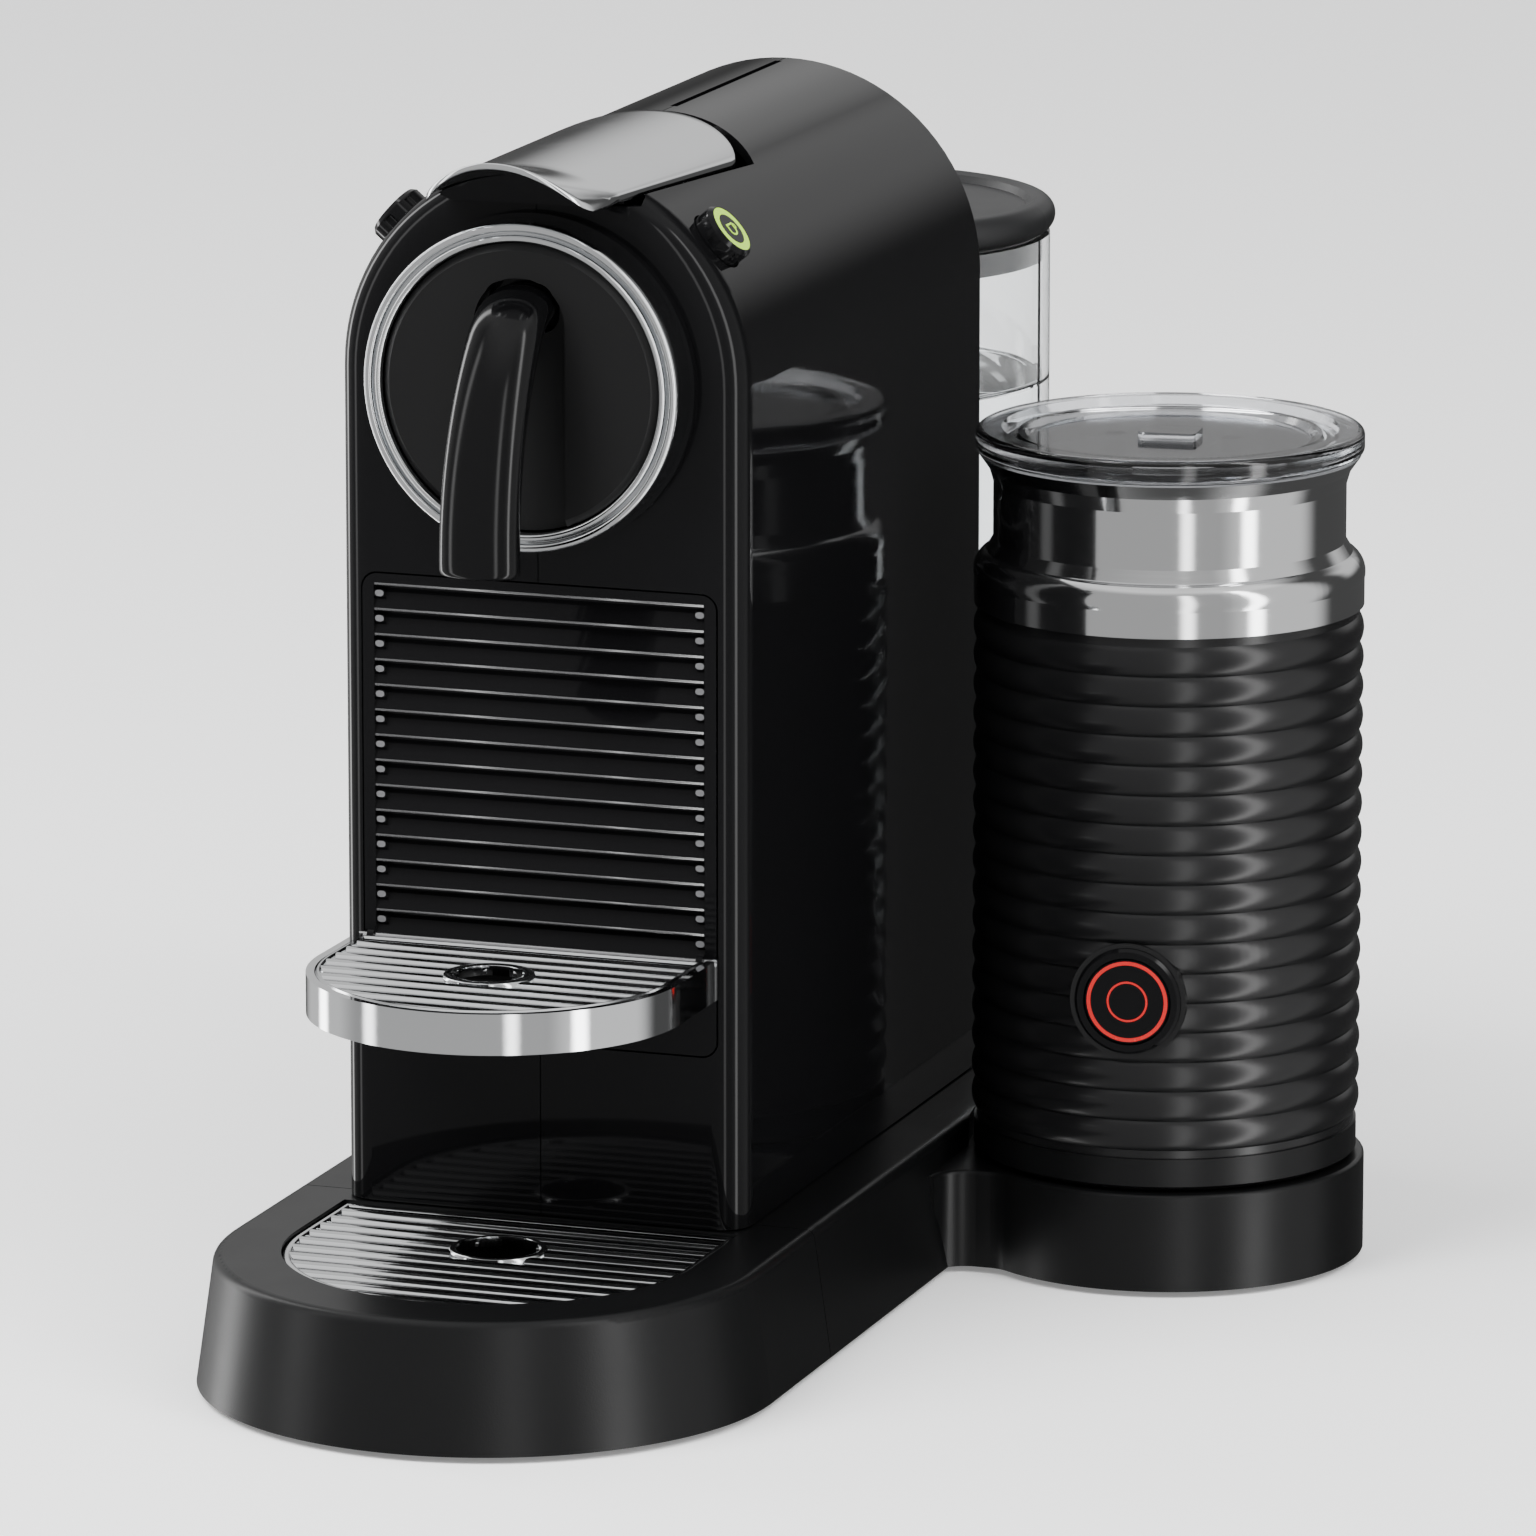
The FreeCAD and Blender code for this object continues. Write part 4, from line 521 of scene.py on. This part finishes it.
def makeGrate(name, grate, body, node):
    bm = bmesh.new()
    low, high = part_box(node)
    top = high.z / mm - grate["ringProud"]
    half = (high.x - low.x) / 2 / mm
    turn = low.y / mm + half - frontY / mm
    back = (high.y - frontY) / mm
    rim = grate["rim"]
    outer = tonguePath(half, turn, back)
    inner = tonguePath(half - rim, turn, back - rim)
    drop = grate["deep"]
    rows = []
    for (ox, oy), (ix, iy) in zip(outer, inner):
        mx, my = (ox * 2 + ix) / 3, (oy * 2 + iy) / 3
        nx, ny = (ox + ix * 2) / 3, (oy + iy * 2) / 3
        rows.append([placed(ox, oy, top - drop), placed(ox, oy, top - 0.5), placed(mx, my, top),
                     placed(nx, ny, top), placed(ix, iy, top - 0.5), placed(ix, iy, top - drop)])
    rows.append(rows[0])
    loft(bm, rows, False, False)
    bmesh.ops.remove_doubles(bm, verts=bm.verts, dist=1e-6)
    inside = half - rim
    first, last = back - rim, turn - inside
    pitch = (first - last) / grate["bars"]
    clear = grate["hole"] + grate["ringWide"] * 0.6

    def reachAt(y):  # half the width inside the frame at this depth
        return inside if y > turn else math.sqrt(max(inside ** 2 - (turn - y) ** 2, 0))

    for row in range(grate["bars"]):
        y = first - pitch * (row + 0.5)
        if reachAt(y) < 6:
            continue
        gap = abs(y - grate["holeY"])
        runs = [(-half, half)]
        if gap < clear:
            away = math.sqrt(clear ** 2 - gap ** 2)
            runs = [(-half, -away), (away, half)]
        for run in runs:
            ends = []
            for x in run:
                arch = []
                for k in range(9):
                    along = y + grate["barWide"] / 2 * math.cos(math.pi * k / 8)
                    limit = reachAt(along) + 0.4
                    arch.append(placed(max(-limit, min(limit, x)), along,
                                       top - 0.1 - grate["barHigh"]
                                       + grate["barHigh"] * math.sin(math.pi * k / 8)))
                ends.append(arch)
            loft(bm, ends)
    bore, edge = grate["hole"], grate["hole"] + grate["ringWide"]
    ring = softened([(bore, -drop), (bore, 0.0), (bore + 0.3, 0.25), (edge - 0.4, 0.25),
                     (edge, -0.1), (edge + 0.3, -drop)], 1)
    lathe(bm, ring, lambda radius, along, angle: placed(
        radius * math.cos(angle), grate["holeY"] + radius * math.sin(angle),
        top + grate["ringProud"] - 0.25 + along), 72)
    bm.normal_update()
    piece = newPiece(name, bm, body, "barChrome", node, angle=40)
    piece.data.materials.append(finishes["barPaintedShade"])
    for face in piece.data.polygons:  # painted shade: the sides of the bars get a near-black copy of the bar steel, standing in for the shade and dark reflections between the bars and the tub
        flat = abs(face.normal.x) < 0.3
        face.material_index = 1 if flat and face.normal.z < 0.62 else 0
    return piece


makeGrate("dripGrate", dripGrate, "grate", "drip_grate")
makeGrate("shelfGrate", shelfGrate, "cup_shelf", "shelf_grate")
print("grates made")

# The spout: a tapering tube that bows out of the disc and hangs down.
spout = {"axisZ": 228.5, "rise": 18.5, "knee": -9.0, "bend": 16.0, "turn": 52, "sweep": 75.0,
         "tip": -38.5, "rootWide": 15.6, "tipWide": 19.2, "rootDeep": 10.4, "tipDeep": 12.0,
         "square": 2.08}


def spoutPath():
    turn = math.radians(spout["turn"])
    bendZ = spout["rise"] - spout["bend"]
    farY = spout["knee"] + (spout["sweep"] - spout["bend"]) * math.sin(turn)
    farZ = bendZ - (spout["sweep"] - spout["bend"]) * math.cos(turn)
    stations = [(spout["knee"] + 1.6, spout["rise"], 0.0)]
    for k in range(11):
        a = turn * k / 10
        stations.append((spout["knee"] - spout["bend"] * math.sin(a),
                         bendZ + spout["bend"] * math.cos(a), a))
    for k in range(1, 17):
        a = turn + (math.pi / 2 - turn) * k / 16
        stations.append((farY - spout["sweep"] * math.sin(a),
                         farZ + spout["sweep"] * math.cos(a), a))
    end = stations[-1]
    for share in (0.35, 0.7, 0.9, 1.0):
        stations.append((end[0], end[1] + (spout["tip"] - end[1]) * share, math.pi / 2))
    return stations


def makeSpout():
    bm = bmesh.new()
    stations = spoutPath()
    rows = []
    run = 0.0
    runs = [0.0]
    for a, b in zip(stations, stations[1:]):
        run += math.hypot(b[0] - a[0], b[1] - a[1])
        runs.append(run)
    for (y, z, lean), so in zip(stations, runs):
        share = (so / run) ** 0.45
        wide = spout["rootWide"] + (spout["tipWide"] - spout["rootWide"]) * share
        deep = spout["rootDeep"] + (spout["tipDeep"] - spout["rootDeep"]) * share
        if so == run:
            wide, deep = wide - 1.6, deep - 1.6
        elif run - so < 0.6:
            wide, deep = wide - 0.5, deep - 0.5
        row = []
        for k in range(40):
            a = 2 * math.pi * k / 40
            c, s = math.cos(a), math.sin(a)
            power = 2 / spout["square"]
            across = math.copysign(abs(c) ** power, c) * wide / 2
            out = math.copysign(abs(s) ** power, s) * deep / 2
            row.append(placed(across, y - out * math.sin(lean),
                              spout["axisZ"] + z + out * math.cos(lean)))
        rows.append(row)
    made = loft(bm, rows, True, False)
    rim = made[-1]
    middle = sum((v.co for v in rim), Vector()) / len(rim)
    mouth = [bm.verts.new(middle + (v.co - middle) * 0.62) for v in rim]
    throat = [bm.verts.new(v.co + Vector((0, 0, 8 * mm))) for v in mouth]
    for here, there in ((rim, mouth), (mouth, throat)):
        for k in range(len(rim)):
            n = (k + 1) % len(rim)
            bm.faces.new((here[k], here[n], there[n], there[k]))
    bm.faces.new(throat)
    return newPiece("pourSpout", bm, "machine", "spoutBlack", "coffee_spout", angle=50)


makeSpout()
print("spout made")

# The chrome ring round the disc, as distance from the axis and depth behind the front.
outletRing = {"profile": [(33.6, -2.6), (33.6, -9.0), (33.6, -12.3), (35.2, -12.3), (35.3, -10.6),
                          (35.5, -9.6), (35.9, -9.6), (36.0, -10.6), (36.1, -12.1), (38.0, -12.1),
                          (38.0, -9.0), (38.0, -2.6)]}


def makeRing():
    bm = bmesh.new()
    lathe(bm, softened(outletRing["profile"], 2), lambda radius, along, angle: placed(
        radius * math.cos(angle), along, spout["axisZ"] + radius * math.sin(angle)), 160)
    return newPiece("outletTrim", bm, "machine", "chrome", "outlet_ring", angle=60)


makeRing()
print("ring made")

# The lever cap: one polished sheet over the arch, with a lip that curls up for the fingers.
leverCap = {"radius": 50.3, "thick": 1.9, "axisZ": 228.5, "rearHalf": 27.4, "frontHalf": 22.6,
            "rearTurn": 51.9, "rearReach": 80.8, "lipStart": -6, "lipReach": 22.0,
            "cornerReach": 10.0, "lipRise": 4.0, "lipDroop": 6.4, "lipNarrow": 0.11,
            "lipShare": 0.3, "edgeRound": 0.5, "rows": 40, "columns": 36}


def capPoint(u, v, depth):  # u runs across, -1 to 1, and v from the rear edge to the lip's edge
    c = leverCap
    radius = c["radius"] - depth
    flat = 1 - c["lipShare"]
    if v < flat:
        share = v / flat
        rear = c["rearTurn"] + math.sqrt((c["rearReach"] - c["rearTurn"]) ** 2
                                         - (u * c["rearHalf"]) ** 2)
        y = rear + (c["lipStart"] - rear) * share
        taper = min((c["rearReach"] - y) / (c["rearReach"] - c["lipStart"]), 1)
        x = u * (c["rearHalf"] + (c["frontHalf"] - c["rearHalf"]) * taper)
        return placed(x, y, c["axisZ"] + math.sqrt(radius ** 2 - x ** 2))
    share = (v - flat) / c["lipShare"]
    bow = math.sqrt(max(1 - abs(u) ** 2.2, 0))
    ahead = c["cornerReach"] + (c["lipReach"] - c["cornerReach"]) * bow
    y = c["lipStart"] - ahead * share
    x = u * c["frontHalf"] * (1 - c["lipNarrow"] * share ** 1.5)
    rise = (c["lipRise"] - c["lipDroop"] * abs(u) ** 2.2) * share ** 1.4
    slim = depth * (1 - 0.25 * share)
    return placed(x, y, c["axisZ"] + math.sqrt(c["radius"] ** 2 - x ** 2) - slim + rise)


def makeLeverCap():
    c = leverCap
    bm = bmesh.new()
    sheets = []
    for depth in (0.0, c["thick"]):
        sheet = []
        for row in range(c["rows"] + 1):
            v = row / c["rows"]
            sheet.append([bm.verts.new(capPoint(-0.995 + 1.99 * k / c["columns"], v, depth))
                          for k in range(c["columns"] + 1)])
        sheets.append(sheet)
    for sheet in sheets:
        for here, there in zip(sheet, sheet[1:]):
            for k in range(c["columns"]):
                bm.faces.new((here[k], here[k + 1], there[k + 1], there[k]))
    top, under = sheets
    edges = [(row[0], low[0]) for row, low in zip(top, under)]
    edges += [(a, b) for a, b in zip(top[-1][1:], under[-1][1:])]
    edges += [(row[-1], low[-1]) for row, low in zip(reversed(top[:-1]), reversed(under[:-1]))]
    edges += [(a, b) for a, b in zip(reversed(top[0][1:-1]), reversed(under[0][1:-1]))]
    for (a, b), (p, q) in zip(edges, edges[1:] + edges[:1]):
        bm.faces.new((a, b, q, p))
    piece = newPiece("leverCap", bm, "lever", "leverChrome", "lever_cap")
    rounding = piece.modifiers.new("edgeRound", "BEVEL")
    rounding.width = c["edgeRound"] * mm
    rounding.segments = 3
    rounding.limit_method = "ANGLE"
    rounding.angle_limit = math.radians(50)
    return piece


makeLeverCap()
print("lever cap made")

# The grille: a thin lip along every slat and a cap on the little end tabs, both coloured lighter
# than the body as a painted highlight.
slats = {"half": 40.2, "first": 178.9, "pitch": 5.92, "count": 14, "lip": 0.34, "front": 0.1,
         "tab": 2.1}


def makeSlatLips():
    bm = bmesh.new()
    for row in range(slats["count"] + 1):
        z = slats["first"] - slats["pitch"] * row - 0.35
        loft(bm, [[placed(x, slats["front"] - slats["lip"] * 0.5 * math.cos(math.tau * k / 8),
                          z + slats["lip"] * math.sin(math.tau * k / 8)) for k in range(8)]
                  for x in (-slats["half"], slats["half"])])
    return newPiece("slatLips", bm, "drawer", "slatPaintedHighlight")


def makeTabCaps():
    bm = bmesh.new()
    for row in range(slats["count"]):
        z = slats["first"] - slats["pitch"] * row - 2.6
        for side in (-1, 1):
            inner, outer = side * (slats["half"] - slats["tab"]), side * slats["half"]
            outline = softened([(inner, z - 0.75), (outer, z - 0.75), (outer, z + 0.75),
                                (inner, z + 0.75)], 2, True)
            front = [placed(x, 0.28, height) for x, height in outline]
            backRow = [placed(x, 0.5, height) for x, height in outline]
            loft(bm, [front, backRow])
    return newPiece("tabCaps", bm, "drawer", "tabPaintedHighlight", smooth=False)


makeSlatLips()
makeTabCaps()
print("grille edges made")

water = {"radius": 46.1, "floor": 36.8, "level": 192.0, "rise": 1.0}  # rise at the wall


def makeWater():
    centre = sum(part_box("water_tank"), Vector()) / 2
    radius = water["radius"]
    outline = softened([(0.001, water["floor"]), (14.0, water["floor"]),
                        (radius - 2, water["floor"] + 12), (radius, water["floor"] + 14),
                        (radius, water["level"] + water["rise"])], 1)
    outline += [(radius - 0.6, water["level"] + 0.35), (radius - 1.8, water["level"]),
                (0.001, water["level"])]
    bm = bmesh.new()
    lathe(bm, outline, lambda r, along, angle: Vector((
        centre.x + r * mm * math.cos(angle), centre.y + r * mm * math.sin(angle), along * mm)), 96)
    bmesh.ops.remove_doubles(bm, verts=bm.verts, dist=2e-6)
    return newPiece("tankWater", bm, "tank", "water", angle=40)


makeWater()
print("water made")

# The button marks: a small cup drawn on each shoulder button's face.
cupMark = {"lift": 40, "y": 16.5, "out": 53.9, "line": 0.46, "high": 0.12}


def ribbon(bm, points, width, where):  # a thin raised line along points of the face's own plane
    rows = []
    for k, (x, y) in enumerate(points):
        before, after = points[max(k - 1, 0)], points[min(k + 1, len(points) - 1)]
        run = math.hypot(after[0] - before[0], after[1] - before[1])
        dx, dy = (after[0] - before[0]) / run, (after[1] - before[1]) / run
        left = (x - dy * width / 2, y + dx * width / 2)
        right = (x + dy * width / 2, y - dx * width / 2)
        rows.append([where(*left, 0), where(*left, cupMark["high"]),
                     where(*right, cupMark["high"]), where(*right, 0)])
    loft(bm, rows)


def makeCupMark(name, side, body, size):
    lift = math.radians(cupMark["lift"])

    def onFace(across, up, proud):
        out = cupMark["out"] - 0.02 + proud
        x = math.cos(lift) * out - math.sin(lift) * up * size
        z = math.sin(lift) * out + math.cos(lift) * up * size
        return placed(side * x, cupMark["y"] + side * across * size, spout["axisZ"] + z)

    bm = bmesh.new()
    curve = [(-1.5 * math.cos(math.pi * k / 10), -0.5 - 1.1 * math.sin(math.pi * k / 10))
             for k in range(11)]
    bowl = [(-1.5, 1.2)] + curve + [(1.5, 1.2)]
    ribbon(bm, bowl, cupMark["line"], onFace)
    ribbon(bm, [(-1.75, 1.2), (1.75, 1.2)], cupMark["line"], onFace)
    handle = [(1.5 + 0.95 * math.sin(math.pi * k / 8), 0.35 + 0.7 * math.cos(math.pi * k / 8))
              for k in range(9)]
    ribbon(bm, handle, cupMark["line"] * 0.8, onFace)
    return newPiece(name, bm, body, "limeLight", smooth=False)


makeCupMark("espressoMark", 1, "button_espresso", 1.0)
makeCupMark("lungoMark", -1, "button_lungo", 1.25)
print("button marks made")

print("scene ready")
